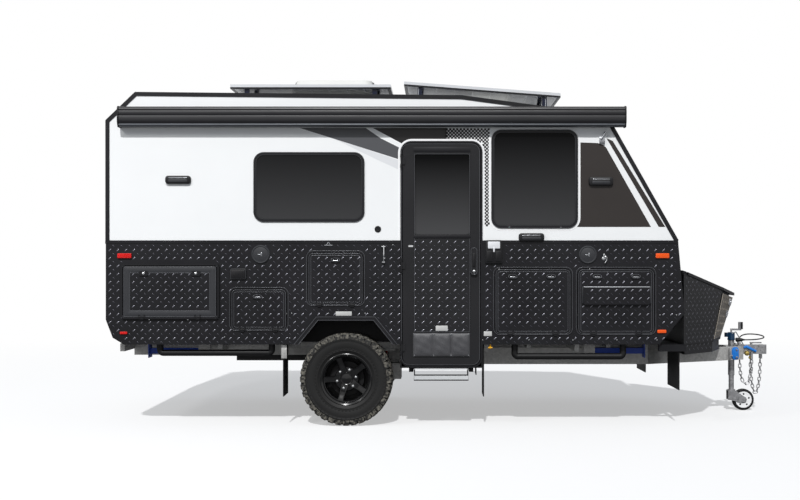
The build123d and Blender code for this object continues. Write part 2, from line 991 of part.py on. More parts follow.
with BuildPart() as toolbox_lid:
    with BuildSketch(Plane.XY.offset(box_bottom)):
        Polygon(*box_corners(box_high_shares, -lid_lap), align=None)
    extrude(amount=2 * (box_rear_top - box_bottom))
    lid_slab = [
        (lid_x, lid_height(lid_x, seat)),
        (box_far_x, lid_height(box_far_x, seat)),
        (box_far_x, lid_height(box_far_x, lid_depth)),
        (lid_x, lid_height(lid_x, lid_depth)),
    ]
    prism_across(lid_slab, -half_width, half_width, Mode.INTERSECT)
    lid_hinges(True)
finish(toolbox_lid, "toolbox_lid")

# Drawbar rails from the nose beam to the coupling, with the jockey wheel's cross plate
drawbar_rear_x = nose_beam_x + nose_beam_width
drawbar_front_x = nose(0.765)
drawbar_front_y = 55
jockey_x = nose(0.673)
jockey_tube_radius = 30
jockey_tube_bore = 25
clamp_half = 45
cross_plate_depth = 12
with BuildPart() as drawbar_rails:
    for side in (near, far):
        with BuildSketch(Plane.XY.offset(rail_low)):
            Polygon(
                (drawbar_rear_x, side * (rail_y - drawbar_width / 2)),
                (drawbar_front_x, side * (drawbar_front_y - drawbar_width / 2)),
                (drawbar_front_x, side * (drawbar_front_y + drawbar_width / 2)),
                (drawbar_rear_x, side * (rail_y + drawbar_width / 2)),
                align=None,
            )
        extrude(amount=drawbar_high - rail_low)
    plate_x = jockey_x - clamp_half - cross_plate_depth
    drawbar_run = drawbar_front_x - drawbar_rear_x
    plate_share = (plate_x - drawbar_rear_x) / drawbar_run
    plate_half = rail_y + (drawbar_front_y - rail_y) * plate_share
    span(plate_x, plate_x + cross_plate_depth, -plate_half, plate_half, rail_low, drawbar_high)
finish(drawbar_rails, "drawbar_rails")

# Front flaps hung on the cross bar behind the toolbox
with BuildPart() as front_flaps:
    for side in (near, far):
        side_span(
            side,
            flap_x,
            flap_x + flap_depth,
            front_flap_inner,
            subframe_outer - member_width - seat,
            front_flap_low,
            box_bottom - 2 * seat,
        )
finish(front_flaps, "front_flaps")

# Chain sizes, and each chain's side, its two ends as nose shares and the sag of its middle
link_rod = 9
link_length = 52
link_width = 34
chain_y = 66
chain_table = (
    (near, 0.735, 0.845, 205),
    (far, 0.870, 0.960, 300),
)
chain_top = rail_low - link_length / 2 - seat

# Lead for the towing vehicle: points as nose share, y and z
lead_radius = 6
lead_points = (
    (0.750, 66, 634),
    (0.752, 66, 668),
    (0.772, 67, 700),
    (0.812, 70, 720),
    (0.870, 75, 724),
    (0.928, 67, 720),
    (0.968, 30, 712),
    (0.977, -14, 702),
    (0.957, -56, 692),
    (0.908, -80, 684),
    (0.858, -80, 679),
    (0.812, -75, 677),
    (0.770, -70, 677),
)
gland_radius = 12
plug_radius = 21
plug_length = 75
plug_rest = 10

# Coupling: base plate, tongue with a pin bore, chain lugs, gland, plug rest and release lever
coupling_bore = 20
coupling_half = 48
coupling_base_half = 86
coupling_base = 12
coupling_low = 540
coupling_lever = 12
coupling_base_x = nose(0.715)
coupling_tip_x = overall_length / 2
coupling_pin_x = coupling_tip_x - coupling_half
with BuildPart() as coupling_head:
    span(
        coupling_base_x,
        drawbar_front_x,
        -coupling_base_half,
        coupling_base_half,
        drawbar_high,
        drawbar_high + coupling_base,
    )
    with BuildSketch(Plane.XY.offset(coupling_low)):
        with BuildLine():
            Polyline(
                (coupling_pin_x, coupling_half),
                (drawbar_front_x, coupling_half),
                (drawbar_front_x, -coupling_half),
                (coupling_pin_x, -coupling_half),
            )
            ThreePointArc(
                (coupling_pin_x, -coupling_half),
                (coupling_tip_x, 0),
                (coupling_pin_x, coupling_half),
            )
        make_face()
    extrude(amount=drawbar_high + coupling_base - coupling_low)
    post(
        coupling_pin_x,
        0,
        coupling_low - overrun,
        drawbar_high + overrun,
        coupling_bore,
        Mode.SUBTRACT,
    )
    for side, rear_share, front_share, _ in chain_table:
        for share in (rear_share, front_share):
            if nose(share) > drawbar_front_x:
                side_span(
                    side,
                    nose(share) - link_rod,
                    nose(share) + link_rod,
                    coupling_half / 2,
                    chain_y + link_width / 2,
                    rail_low,
                    coupling_low + 2 * coupling_base,
                )
    gland_share, gland_y, gland_z = lead_points[0]
    post(nose(gland_share), gland_y, drawbar_high, gland_z, gland_radius)
    plug_share, plug_y, plug_z = lead_points[-1]
    rest_x = nose(plug_share) - plug_length / 2
    span(
        rest_x - plug_rest,
        rest_x + plug_rest,
        plug_y - plug_rest,
        plug_y + plug_rest,
        drawbar_high,
        plug_z - plug_radius - plug_rest / 5,
    )
    lever_x = (drawbar_front_x + coupling_pin_x) / 2
    post(lever_x, 0, drawbar_high, drawbar_high + 3 * coupling_lever, coupling_lever)
    span(
        lever_x - coupling_lever,
        coupling_pin_x,
        -coupling_lever,
        coupling_lever,
        drawbar_high + 2 * coupling_lever,
        drawbar_high + 3 * coupling_lever,
    )
finish(coupling_head, "coupling_head")

# Jockey wheel: fixed tube and clamp, sliding leg, swivelling fork and wheel
jockey_wheel_radius = 102
jockey_wheel_width = 55
jockey_trail = 110
jockey_tube_low = 334
jockey_tube_high = 745
jockey_leg_radius = jockey_tube_bore - seat
jockey_leg_low = 192
jockey_leg_top = 590
crank_rise = 70
crank_radius = 8
crank_reach = 95
crank_grip_radius = 14
fork_plate = 8
fork_top = jockey_leg_low - seat
fork_half = jockey_wheel_width / 2 + 6
jockey_axle_x = jockey_x + jockey_trail
with BuildPart() as jockey_tube:
    post(jockey_x, 0, jockey_tube_low, jockey_tube_high, jockey_tube_radius)
    span(
        jockey_x - clamp_half,
        jockey_x + clamp_half,
        -clamp_half,
        clamp_half,
        rail_low,
        drawbar_high,
    )
    post(
        jockey_x,
        0,
        jockey_tube_low - overrun,
        jockey_tube_high - crank_rise / 4,
        jockey_tube_bore,
        Mode.SUBTRACT,
    )
    post(jockey_x, 0, jockey_tube_high, jockey_tube_high + crank_rise / 2, crank_radius)
    side_span(
        near,
        jockey_x - crank_radius,
        jockey_x + crank_reach,
        -crank_radius,
        crank_radius,
        jockey_tube_high + crank_rise / 4,
        jockey_tube_high + crank_rise / 2,
    )
    crank_end_x = jockey_x + crank_reach - crank_grip_radius
    post(
        crank_end_x,
        0,
        jockey_tube_high + crank_rise / 3,
        jockey_tube_high + crank_rise / 2 + 2 * crank_reach / 3,
        crank_grip_radius,
    )
finish(jockey_tube, "jockey_tube")

with BuildPart() as jockey_leg:
    post(jockey_x, 0, jockey_leg_low, jockey_leg_top, jockey_leg_radius)
    post(jockey_x, 0, jockey_leg_low, jockey_leg_low + fork_plate, jockey_tube_radius + fork_plate)
finish(jockey_leg, "jockey_leg")

fork_axle_radius = 8
fork_rear_x = jockey_x - jockey_tube_radius - fork_plate
fork_neck_x = jockey_x + jockey_tube_radius
with BuildPart() as jockey_fork:
    span(fork_rear_x, fork_neck_x, -fork_half, fork_half, fork_top - fork_plate, fork_top)
    cheek_points = [
        (fork_rear_x, fork_top),
        (fork_neck_x, fork_top),
        (jockey_axle_x + 3 * fork_plate, jockey_wheel_radius + 2 * fork_plate),
        (jockey_axle_x + 3 * fork_plate, jockey_wheel_radius - 2 * fork_plate),
        (jockey_axle_x - 2 * fork_plate, jockey_wheel_radius - 3 * fork_plate),
        (fork_rear_x, jockey_wheel_radius),
    ]
    for side in (near, far):
        y_low, y_high = sorted((side * fork_half, side * (fork_half + fork_plate)))
        prism_across(cheek_points, y_low, y_high)
    side_cylinder(near, -fork_half, fork_half, jockey_axle_x, jockey_wheel_radius, fork_axle_radius)
finish(jockey_fork, "jockey_fork")

with BuildPart() as jockey_wheel:
    wheel_half = jockey_wheel_width / 2
    side_cylinder(
        near, -wheel_half, wheel_half, jockey_axle_x, jockey_wheel_radius, jockey_wheel_radius
    )
    fillet(jockey_wheel.edges().filter_by(GeomType.CIRCLE), wheel_half / 2)
    for side in (near, far):
        side_cylinder(
            side,
            wheel_half - 2 * fork_plate / 3,
            wheel_half + overrun,
            jockey_axle_x,
            jockey_wheel_radius,
            2 * jockey_wheel_radius / 3,
            Mode.SUBTRACT,
        )
        side_cylinder(
            side,
            0,
            fork_half - seat,
            jockey_axle_x,
            jockey_wheel_radius,
            3 * fork_axle_radius,
        )
    side_cylinder(
        near,
        -fork_half - overrun,
        fork_half + overrun,
        jockey_axle_x,
        jockey_wheel_radius,
        fork_axle_radius + seat,
        Mode.SUBTRACT,
    )
finish(jockey_wheel, "jockey_wheel")

# Road wheels: tyre outline as radius and width shares, then rows of lugs
bead_radius = 205
bead_half = 108
rim_lip_radius = 226
rim_lip = 6
lug_count = 18
lug_root = 384
lug_half_chord = 46
# Lug rows: inner and outer edge from the middle as width shares, turn as a share of the pitch
lug_rows = (
    (0.06, 0.24, 0.0),
    (0.29, 0.49, 0.5),
    (-0.24, -0.06, 0.5),
    (-0.49, -0.29, 0.0),
)


def wheel_plane(side):
    return Plane(
        origin=(axle_x, side * track_half, tyre_radius),
        x_dir=(1, 0, 0),
        z_dir=(0, 0, side),
    )


def wheel_face(side, offset):
    return Plane(
        origin=(axle_x, side * (track_half + offset), tyre_radius),
        x_dir=(1, 0, 0),
        z_dir=(0, side, 0),
    )


def wheel_axis(side):
    return Axis((axle_x, side * track_half, tyre_radius), (0, side, 0))


tyre_half = tyre_width / 2
shoulder_radius = 372
tread_half = 112
bulge_radius = 300
for side, name in ((near, "near"), (far, "far")):
    with BuildPart() as tyre:
        with BuildSketch(wheel_plane(side)):
            with BuildLine():
                Polyline(
                    (shoulder_radius, -tyre_half + bite),
                    (lug_root, -tread_half),
                    (lug_root, tread_half),
                    (shoulder_radius, tyre_half - bite),
                )
                ThreePointArc(
                    (shoulder_radius, tyre_half - bite),
                    (bulge_radius, tyre_half),
                    (rim_lip_radius, bead_half),
                )
                Polyline(
                    (rim_lip_radius, bead_half),
                    (bead_radius, bead_half),
                    (bead_radius, -bead_half),
                    (rim_lip_radius, -bead_half),
                )
                ThreePointArc(
                    (rim_lip_radius, -bead_half),
                    (bulge_radius, -tyre_half),
                    (shoulder_radius, -tyre_half + bite),
                )
            make_face()
        revolve(axis=wheel_axis(side))
        for low_share, high_share, turn_share in lug_rows:
            low, high = low_share * tyre_width, high_share * tyre_width
            outer = abs(low_share) > 0.25
            root = shoulder_radius - 3 * sleeve if outer else lug_root - bite
            with BuildSketch(wheel_face(side, low)):
                lug_middle = (root + math.sqrt(tyre_radius**2 - (lug_half_chord) ** 2)) / 2
                lug_length = 2 * (lug_middle - root)
                with PolarLocations(lug_middle, lug_count, turn_share * 360 / lug_count):
                    Rectangle(lug_length, 2 * lug_half_chord)
            extrude(amount=high - low)
    finish(tyre, "tyre_" + name)

# Rims: barrel, lips, five spokes, hub and brake drum
barrel_wall = 15
hub_radius = 74
cap_radius = 30
spoke_low = 18
spoke_depth = 36
spoke_count = 5
spoke_turn = 38
spoke_hub_half = 34
spoke_rim_half = 24
drum_radius = 150
drum_low = 70
cap_proud = 8
rim_outer = bead_radius - seat
rim_inner = rim_outer - barrel_wall
for side, name in ((near, "near"), (far, "far")):
    with BuildPart() as rim:
        with BuildSketch(wheel_plane(side)):
            with BuildLine():
                Polyline(
                    (rim_inner, -bead_half - rim_lip),
                    (rim_lip_radius - 2 * seat, -bead_half - rim_lip),
                    (rim_lip_radius - 2 * seat, -bead_half - seat),
                    (rim_outer, -bead_half - seat),
                    (rim_outer, bead_half + seat),
                    (rim_lip_radius - 2 * seat, bead_half + seat),
                    (rim_lip_radius - 2 * seat, bead_half + rim_lip),
                    (rim_inner, bead_half + rim_lip),
                    close=True,
                )
            make_face()
        revolve(axis=wheel_axis(side))
        with BuildSketch(wheel_face(side, spoke_low)):
            Circle(hub_radius)
            with PolarLocations(0, spoke_count, side * -spoke_turn):
                Polygon(
                    (hub_radius / 2, -spoke_hub_half),
                    (rim_inner + bite, -spoke_rim_half),
                    (rim_inner + bite, spoke_rim_half),
                    (hub_radius / 2, spoke_hub_half),
                    align=None,
                )
        extrude(amount=spoke_depth)
        with BuildSketch(wheel_face(side, -drum_low)):
            Circle(drum_radius)
        extrude(amount=drum_low)
        with BuildSketch(wheel_face(side, 0)):
            Circle(hub_radius)
        extrude(amount=spoke_low)
        with BuildSketch(wheel_face(side, spoke_low + spoke_depth)):
            Circle(cap_radius)
        extrude(amount=cap_proud)
    finish(rim, "rim_" + name)

# Trailing arms with stub axles, and the spring and damper on each
arm_low = 365
arm_high = 428
arm_end_half = 60
arm_inner_share = 0.6
stub_radius = 32
arm_outer = track_half - drum_low - 2 * gap
with BuildPart() as suspension_arms:
    for side in (near, far):
        pivot_x = axle_x + arm_pivot_ahead
        tube_inner, tube_outer = arm_pivot_inner, arm_pivot_outer
        with BuildSketch(Plane.XY.offset(arm_low)):
            Polygon(
                (pivot_x, side * tube_inner),
                (pivot_x, side * tube_outer),
                (pivot_x - bracket_half - gap, side * tube_outer),
                (axle_x + arm_end_half, side * arm_outer),
                (axle_x - arm_end_half, side * arm_outer),
                (axle_x - arm_end_half, side * (housing_inner - arm_end_half)),
                align=None,
            )
        extrude(amount=arm_high - arm_low)
        side_cylinder(side, tube_inner, tube_outer, pivot_x, arm_pivot_z, arm_pivot_radius)
        side_cylinder(
            side,
            tube_inner - overrun,
            tube_outer + overrun,
            pivot_x,
            arm_pivot_z,
            arm_pin_radius + seat,
            Mode.SUBTRACT,
        )
        side_cylinder(
            side,
            arm_outer - arm_end_half,
            track_half - drum_low - seat,
            axle_x,
            tyre_radius,
            stub_radius,
        )
finish(suspension_arms, "suspension_arms")

spring_ahead = 155
damper_ahead = 312
damper_radius = 30
spring_radius = 55
spring_wire = 8
spring_turns = 6
strut_low = arm_high + seat
strut_high = rail_high - tower_height - seat
with BuildPart() as suspension_struts:
    for side in (near, far):
        post(axle_x + damper_ahead, side * strut_y, strut_low, strut_high, damper_radius)
        spring_x = axle_x + spring_ahead
        post(spring_x, side * strut_y, strut_low, strut_high, spring_radius - 2 * spring_wire)
        pitch = (strut_high - strut_low) / spring_turns
        for turn in range(spring_turns):
            ring_low = strut_low + (turn + 1 / 4) * pitch
            post(spring_x, side * strut_y, ring_low, ring_low + 2 * spring_wire, spring_radius)
finish(suspension_struts, "suspension_struts")

# Water tanks between the rails: low and high x shares
tank_shares = ((0.205, 0.345), (0.50, 0.62))
tank_low = 520
with BuildPart() as water_tanks:
    for low_share, high_share in tank_shares:
        span(
            along(low_share),
            along(high_share),
            -rail_inner,
            rail_inner,
            tank_low,
            rail_high,
        )
finish(water_tanks, "water_tanks")

# Awning case on the door side, with its end caps and wall brackets
awning_depth = 92
awning_stand = 6
awning_cap = 14
awning_radius = 55
cap_margin = 4
awning_foot_shares = (0.12, 0.37, 0.62, 0.84)
awning_foot = 120
with BuildPart() as awning_case:
    x_low, x_high, z_low, z_high = place("awning")
    y_back = -(half_width + awning_stand)
    y_front = y_back - awning_depth

    def awning_profile(x, margin, length):
        with BuildSketch(Plane.YZ.offset(x)) as profile:
            with BuildLine():
                FilletPolyline(
                    (y_back, z_low - margin),
                    (y_front - margin, z_low + awning_radius / 2 - margin),
                    (y_front - margin, z_high - awning_radius / 2 + margin),
                    (y_back, z_high + margin),
                    radius=awning_radius / 3,
                )
                Line((y_back, z_high + margin), (y_back, z_low - margin))
            make_face()
        extrude(profile.sketch, amount=length)

    awning_profile(x_low + awning_cap, 0, x_high - x_low - 2 * awning_cap)
    awning_profile(x_low, cap_margin, awning_cap)
    awning_profile(x_high - awning_cap, cap_margin, awning_cap)
    for share in awning_foot_shares:
        x = along(share)
        side_span(
            near,
            x - awning_foot / 2,
            x + awning_foot / 2,
            half_width,
            half_width + awning_stand + bite,
            z_low + awning_foot / 4,
            z_high - awning_foot,
        )
finish(awning_case, "awning_case")


def keep_off_body():
    prism_across(outline, -half_width - overrun, half_width + overrun, Mode.SUBTRACT)


# Roof: solar panels as low x, high x shares, with heights above the roof's highest point
panel_table = ((0.211, 0.491, 50, 50), (0.515, 0.788, 76, -26))
panel_depth = 35
panel_inner = 380
panel_outer = 1010
panel_foot = 40
foot_shares = (0.1, 0.9)
roof_z = up(1)
with BuildPart() as solar_panels:
    for low_share, high_share, rear_rise, front_rise in panel_table:
        x_low, x_high = along(low_share), along(high_share)
        rear_z, front_z = roof_z + rear_rise, roof_z + front_rise
        slab = [
            (x_low, rear_z),
            (x_high, front_z),
            (x_high, front_z + panel_depth),
            (x_low, rear_z + panel_depth),
        ]
        for side in (near, far):
            y_low, y_high = sorted((side * panel_inner, side * panel_outer))
            prism_across(slab, y_low, y_high)
            for share in foot_shares:
                x = x_low + share * (x_high - x_low)
                z = rear_z + share * (front_z - rear_z)
                for y in (panel_inner + panel_foot, panel_outer - panel_foot):
                    side_span(
                        side,
                        x - panel_foot / 2,
                        x + panel_foot / 2,
                        y - panel_foot / 2,
                        y + panel_foot / 2,
                        z - 4 * panel_foot,
                        z + panel_depth / 4,
                    )
    keep_off_body()
finish(solar_panels, "solar_panels")

# Roof unit and vents: low x, high x shares, half width and height over the roof
roof_unit_place = (0.29, 0.467, 330, 240)
vent_places = ((0.108, 0.181, 200, 95), (0.63, 0.71, 180, 60))
with BuildPart() as roof_units:
    for low_share, high_share, half, height in (roof_unit_place,) + vent_places:
        x_low, x_high = along(low_share), along(high_share)
        base = roof_z - 2 * overrun
        with BuildSketch(Plane.XY.offset(base)):
            with Locations(((x_low + x_high) / 2, 0)):
                RectangleRounded(x_high - x_low, 2 * half, half / 4)
        with BuildSketch(Plane.XY.offset(roof_z + height)):
            with Locations(((x_low + x_high) / 2, 0)):
                RectangleRounded((x_high - x_low) * 0.8, 2 * half * 0.8, half / 5)
        loft()
    keep_off_body()
finish(roof_units, "roof_units")

# Lamps and fittings on the walls: side, middle x and z shares, width, height, how far proud
lamp_table = (
    (near, 0.0325, 0.352, 125, 45, 18),
    (near, 0.031, 0.046, 68, 26, 14),
    (near, 0.9615, 0.352, 120, 45, 18),
    (near, 0.9605, 0.052, 82, 32, 14),
    (far, 0.0325, 0.352, 125, 45, 18),
    (far, 0.9615, 0.352, 120, 45, 18),
)
fitting_table = (
    (near, 0.125, 0.653, 220, 70, 26),
    (near, 0.8555, 0.647, 210, 78, 26),
    (near, 0.229, 0.280, 137, 92, 22),
    (near, 0.6705, 0.3675, 145, 200, 24),
    (near, 0.8605, 0.3415, 64, 90, 30),
    (near, 0.4805, 0.3565, 46, 160, 34),
    (far, 0.490, 0.240, 380, 250, 16),
    (far, 0.490, 0.580, 380, 250, 16),
    (far, 0.600, 0.230, 340, 340, 36),
)
disc_table = (
    (near, 0.2675, 0.3575, 80, 12),
    (near, 0.833, 0.356, 78, 12),
    (near, 0.470, 0.4575, 28, 8),
)
tail_lamp_y = 900
tail_lamp_half = 80
tail_lamp_height = 330
tail_lamp_proud = 22
tail_lamp_share = 0.20
tail_lamp_depth = tail_lamp_proud - trim_proud


def wall_face(z_low, z_high):
    if z_low > belt_high:
        return half_width
    return half_width + (plate if z_high < belt_low else belt_proud)


def wall_block(side, x_share, z_share, width, height, proud):
    x, z = along(x_share), up(z_share)
    face = wall_face(z - height / 2, z + height / 2)
    bounds = (x - width / 2, x + width / 2, z - height / 2, z + height / 2)
    side_slab(side, face, face + proud, bounds, min(width, height) / 5)


with BuildPart() as side_lamps:
    for row in lamp_table:
        wall_block(*row)
    for side in (near, far):
        side_span(
            side,
            rear_x - tail_lamp_depth,
            rear_x,
            tail_lamp_y - tail_lamp_half,
            tail_lamp_y + tail_lamp_half,
            up(tail_lamp_share),
            up(tail_lamp_share) + tail_lamp_height,
        )
finish(side_lamps, "side_lamps")

with BuildPart() as wall_fittings:
    for row in fitting_table:
        wall_block(*row)
    for side, x_share, z_share, radius, proud in disc_table:
        x, z = along(x_share), up(z_share)
        face = wall_face(z - radius, z + radius)
        side_cylinder(side, face, face + proud, x, z, radius)
finish(wall_fittings, "wall_fittings")

# Safety chains: links along a hanging arc, each turned a quarter from the last
with BuildPart() as safety_chains:
    for side, rear_share, front_share, sag in chain_table:
        start, end = nose(rear_share), nose(front_share)
        middle, half_run = (start + end) / 2, (end - start) / 2
        steps = 3000
        route = []
        for index in range(steps + 1):
            turn = math.pi * index / steps
            x, z = middle - half_run * math.cos(turn), chain_top - sag * math.sin(turn)
            route.append(Vector(x, 0, z))
        last = None
        link = 0
        link_pitch = link_length - 2 * link_rod + seat
        for before, after in zip(route, route[1:]):
            if last and (after - last).length < link_pitch:
                continue
            last = after
            centre = Vector(after.X, side * chain_y, after.Z)
            heading = (after - before).normalized()
            flat = Vector(0, 1, 0) if link % 2 else heading.cross(Vector(0, 1, 0))
            with BuildSketch(Plane(origin=centre - flat * (link_rod / 2), x_dir=heading, z_dir=flat)):
                Rectangle(link_length, link_width)
                Rectangle(link_length - 2 * link_rod, link_width - 2 * link_rod, mode=Mode.SUBTRACT)
            extrude(amount=link_rod)
            link += 1
finish(safety_chains, "safety_chains")

# Lead: one cable from the gland round to its parked plug
lead_share = 0.45


def lead_route():
    return [Vector(nose(share), y, z) for share, y, z in lead_points]


def bend_radii(points):
    radii = []
    for before, here, after in zip(points, points[1:], points[2:]):
        first, second = here - before, after - here
        turn = math.radians(first.get_angle(second))
        run = min(first.length, second.length)
        radii.append(lead_share * run / math.tan(turn / 2))
    return radii


route = lead_route()
radii = bend_radii(route)
print("lead radii", [round(radius) for radius in radii])
with BuildPart() as tow_lead:
    with BuildLine() as path:
        FilletPolyline(*route, radius=radii)
    with BuildSketch(Plane(origin=path.line @ 0, z_dir=path.line % 0)):
        Circle(lead_radius)
    sweep()
lead_length = path.wires()[0].length
lead_ratio = tow_lead.part.volume / (lead_length * math.pi * lead_radius**2)
print("lead length", round(lead_length), "volume over section times length", round(lead_ratio, 4))
finish(tow_lead, "tow_lead")

with BuildPart() as lead_plug:
    start = path.line @ 1
    heading = path.line % 1
    with BuildSketch(Plane(origin=start, z_dir=heading)):
        Circle(plug_radius)
    extrude(amount=plug_length)
finish(lead_plug, "lead_plug")
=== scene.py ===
import json
import math

import bmesh
import bpy
from mathutils import Matrix, Vector
from mathutils.bvhtree import BVHTree


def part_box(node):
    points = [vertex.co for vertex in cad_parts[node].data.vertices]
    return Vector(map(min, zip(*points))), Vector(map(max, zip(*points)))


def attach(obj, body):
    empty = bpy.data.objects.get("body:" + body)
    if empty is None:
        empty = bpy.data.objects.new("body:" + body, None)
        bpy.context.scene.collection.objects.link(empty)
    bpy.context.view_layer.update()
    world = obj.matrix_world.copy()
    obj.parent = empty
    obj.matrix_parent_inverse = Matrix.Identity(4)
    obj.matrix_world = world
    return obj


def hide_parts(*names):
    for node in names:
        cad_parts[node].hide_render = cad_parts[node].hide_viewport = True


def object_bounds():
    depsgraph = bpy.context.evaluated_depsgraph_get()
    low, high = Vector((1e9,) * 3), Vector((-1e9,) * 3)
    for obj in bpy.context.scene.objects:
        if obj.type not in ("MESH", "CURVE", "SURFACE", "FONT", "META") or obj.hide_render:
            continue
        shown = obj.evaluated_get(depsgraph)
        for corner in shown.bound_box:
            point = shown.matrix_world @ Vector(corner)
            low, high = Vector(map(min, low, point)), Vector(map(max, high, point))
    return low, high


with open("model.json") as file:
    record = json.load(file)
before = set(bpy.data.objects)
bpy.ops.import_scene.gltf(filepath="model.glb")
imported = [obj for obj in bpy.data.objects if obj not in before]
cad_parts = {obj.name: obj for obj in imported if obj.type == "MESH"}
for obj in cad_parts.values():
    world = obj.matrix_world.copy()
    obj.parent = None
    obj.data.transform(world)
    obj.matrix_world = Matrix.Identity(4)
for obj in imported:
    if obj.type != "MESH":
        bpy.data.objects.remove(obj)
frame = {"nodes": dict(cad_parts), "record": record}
cad_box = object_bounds()

NEAR = -1
FAR = 1
SIDE_NAMES = {NEAR: "near", FAR: "far"}


def low(node):
    return Vector(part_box(node)[0])


def high(node):
    return Vector(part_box(node)[1])


def middle(node):
    return (low(node) + high(node)) / 2


# Places on the body's side, as shares of its length and height
body_low, body_high = low("wall_near"), high("wall_near")
half_width = -body_low.y
axle = middle("tyre_near")


def along(share):
    return body_low.x + share * (body_high.x - body_low.x)


def up(share):
    return body_low.z + share * (body_high.z - body_low.z)


belt_share = 0.401
belt_top_share = 0.413


# Node trees: operators on a Value add Math nodes, and add() makes any other node
class Value:
    """One output of a node, or a group's input, that Python's operators work on."""

    def __init__(self, tree, socket):
        self.tree = tree
        self.socket = socket

    def math(self, operation, first, second=0.0, third=0.0):
        return self.tree.math(operation, first, second, third)

    def __add__(self, other):
        return self.math("ADD", self, other)

    def __radd__(self, other):
        return self.math("ADD", other, self)

    def __sub__(self, other):
        return self.math("SUBTRACT", self, other)

    def __rsub__(self, other):
        return self.math("SUBTRACT", other, self)

    def __mul__(self, other):
        return self.math("MULTIPLY", self, other)

    def __rmul__(self, other):
        return self.math("MULTIPLY", other, self)

    def __truediv__(self, other):
        return self.math("DIVIDE", self, other)

    def __pow__(self, other):
        return self.math("POWER", self, other)

    def __mod__(self, other):
        return self.math("FLOORED_MODULO", self, other)

    def above(self, limit):
        return self.math("GREATER_THAN", self, limit)

    def below(self, limit):
        return self.math("LESS_THAN", self, limit)

    def ramp(self, start, end):
        """0 at start and 1 at end, held flat outside."""
        return self.tree.add(
            "ShaderNodeMapRange",
            {"clamp": True},
            {"Value": self, "From Min": start, "From Max": end},
        )


class Tree:
    def __init__(self, tree):
        self.tree = tree

    def add(self, kind, settings=None, values=None, output=0):
        node = self.tree.nodes.new(kind)
        for name, setting in (settings or {}).items():
            setattr(node, name, setting)
        for key, value in (values or {}).items():
            self.feed(node.inputs[key], value)
        return Value(self, node.outputs[output])

    def feed(self, socket, value):
        if isinstance(value, Value):
            self.tree.links.new(value.socket, socket)
        else:
            socket.default_value = value

    def math(self, operation, first, second=0.0, third=0.0):
        return self.add("ShaderNodeMath", {"operation": operation}, {0: first, 1: second, 2: third})


def tint(code):
    """A linear colour from its web code."""
    parts = [int(code[i : i + 2], 16) / 255 for i in (1, 3, 5)]
    return tuple(p / 12.92 if p <= 0.04045 else ((p + 0.055) / 1.055) ** 2.4 for p in parts) + (1.0,)


def scaled(colour, factor):
    return tuple(min(1.0, part * factor) for part in colour[:3]) + (1.0,)


class Surface(Tree):
    """A material with one principled shader."""

    def __init__(self, name, **fixed):
        self.material = bpy.data.materials.new(name)
        self.material.use_nodes = True
        super().__init__(self.material.node_tree)
        self.tree.nodes.clear()
        self.shader = self.tree.nodes.new("ShaderNodeBsdfPrincipled")
        output = self.tree.nodes.new("ShaderNodeOutputMaterial")
        self.tree.links.new(self.shader.outputs[0], output.inputs[0])
        self.set(**fixed)

    def set(self, **values):
        for name, value in values.items():
            self.feed(self.shader.inputs[name.replace("_", " ")], value)
        return self

    def place(self, stretch=(1, 1, 1)):
        spot = self.add("ShaderNodeTexCoord", output="Object")
        return self.add("ShaderNodeMapping", {}, {"Vector": spot, "Scale": stretch})

    def axes(self):
        spot = self.add("ShaderNodeTexCoord", output="Object")
        split = self.add("ShaderNodeSeparateXYZ", {}, {0: spot})
        return [Value(self, split.socket.node.outputs[i]) for i in range(3)]

    def noise(self, scale, detail=2.0, stretch=(1, 1, 1)):
        values = {"Vector": self.place(stretch), "Scale": scale, "Detail": detail}
        return self.add("ShaderNodeTexNoise", {}, values)

    def cells(self, scale, output):
        values = {"Vector": self.place(), "Scale": scale}
        return self.add("ShaderNodeTexVoronoi", {}, values, output)

    def mix(self, factor, first, second):
        settings = {"data_type": "RGBA"}
        return self.add("ShaderNodeMix", settings, {0: factor, 6: first, 7: second}, 2)

    def bump(self, height, depth):
        return self.add("ShaderNodeBump", {}, {"Height": height, "Distance": depth, "Strength": 1.0})


def finish(name, code, roughness, mottle=0.08, grain=300.0, depth=0.0003, wear=0.06, shine=0.3, **fixed):
    """A painted or moulded surface: its colour mottled, its gloss uneven, with a fine grain."""
    surface = Surface(name, Specular_IOR_Level=shine, **fixed)
    colour = tint(code)
    broad = surface.noise(3.0, 4.0)
    fine = surface.noise(grain, 2.0)
    surface.set(
        Base_Color=surface.mix(broad.ramp(0.3, 0.7), scaled(colour, 1 - mottle), scaled(colour, 1 + mottle)),
        Roughness=roughness + (broad - 0.5) * wear + (fine - 0.5) * wear,
        Normal=surface.bump(fine, depth),
    )
    return surface.material


def spangled(name, code, roughness, metallic=0.75):
    """Hot-dip zinc: flat crystals of slightly different greys with dull streaks."""
    surface = Surface(name, Metallic=metallic)
    colour = tint(code)
    crystal = surface.cells(55.0, "Color")
    grey = surface.add("ShaderNodeSeparateXYZ", {}, {0: crystal})
    streak = surface.noise(9.0, 5.0, (1, 1, 4))
    tone = grey * 0.5 + streak * 0.5
    surface.set(
        Base_Color=surface.mix(tone, scaled(colour, 0.7), scaled(colour, 1.25)),
        Roughness=roughness + (tone - 0.5) * 0.25,
        Normal=surface.bump(grey, 0.0002),
    )
    return surface.material


def speckled_rubber(name, code, speckle_code):
    """Tyre rubber for the lugs: pale speckles and a dry, fine-grained skin."""
    surface = Surface(name, Specular_IOR_Level=0.3)
    pale_speckle = surface.noise(46.0, 8.0).ramp(0.44, 0.72)
    fine = surface.noise(180.0, 3.0)
    surface.set(
        Base_Color=surface.mix(pale_speckle * 0.55, tint(code), tint(speckle_code)),
        Roughness=0.62 + pale_speckle * 0.3 - fine * 0.1,
        Normal=surface.bump(fine, 0.0006),
    )
    return surface.material


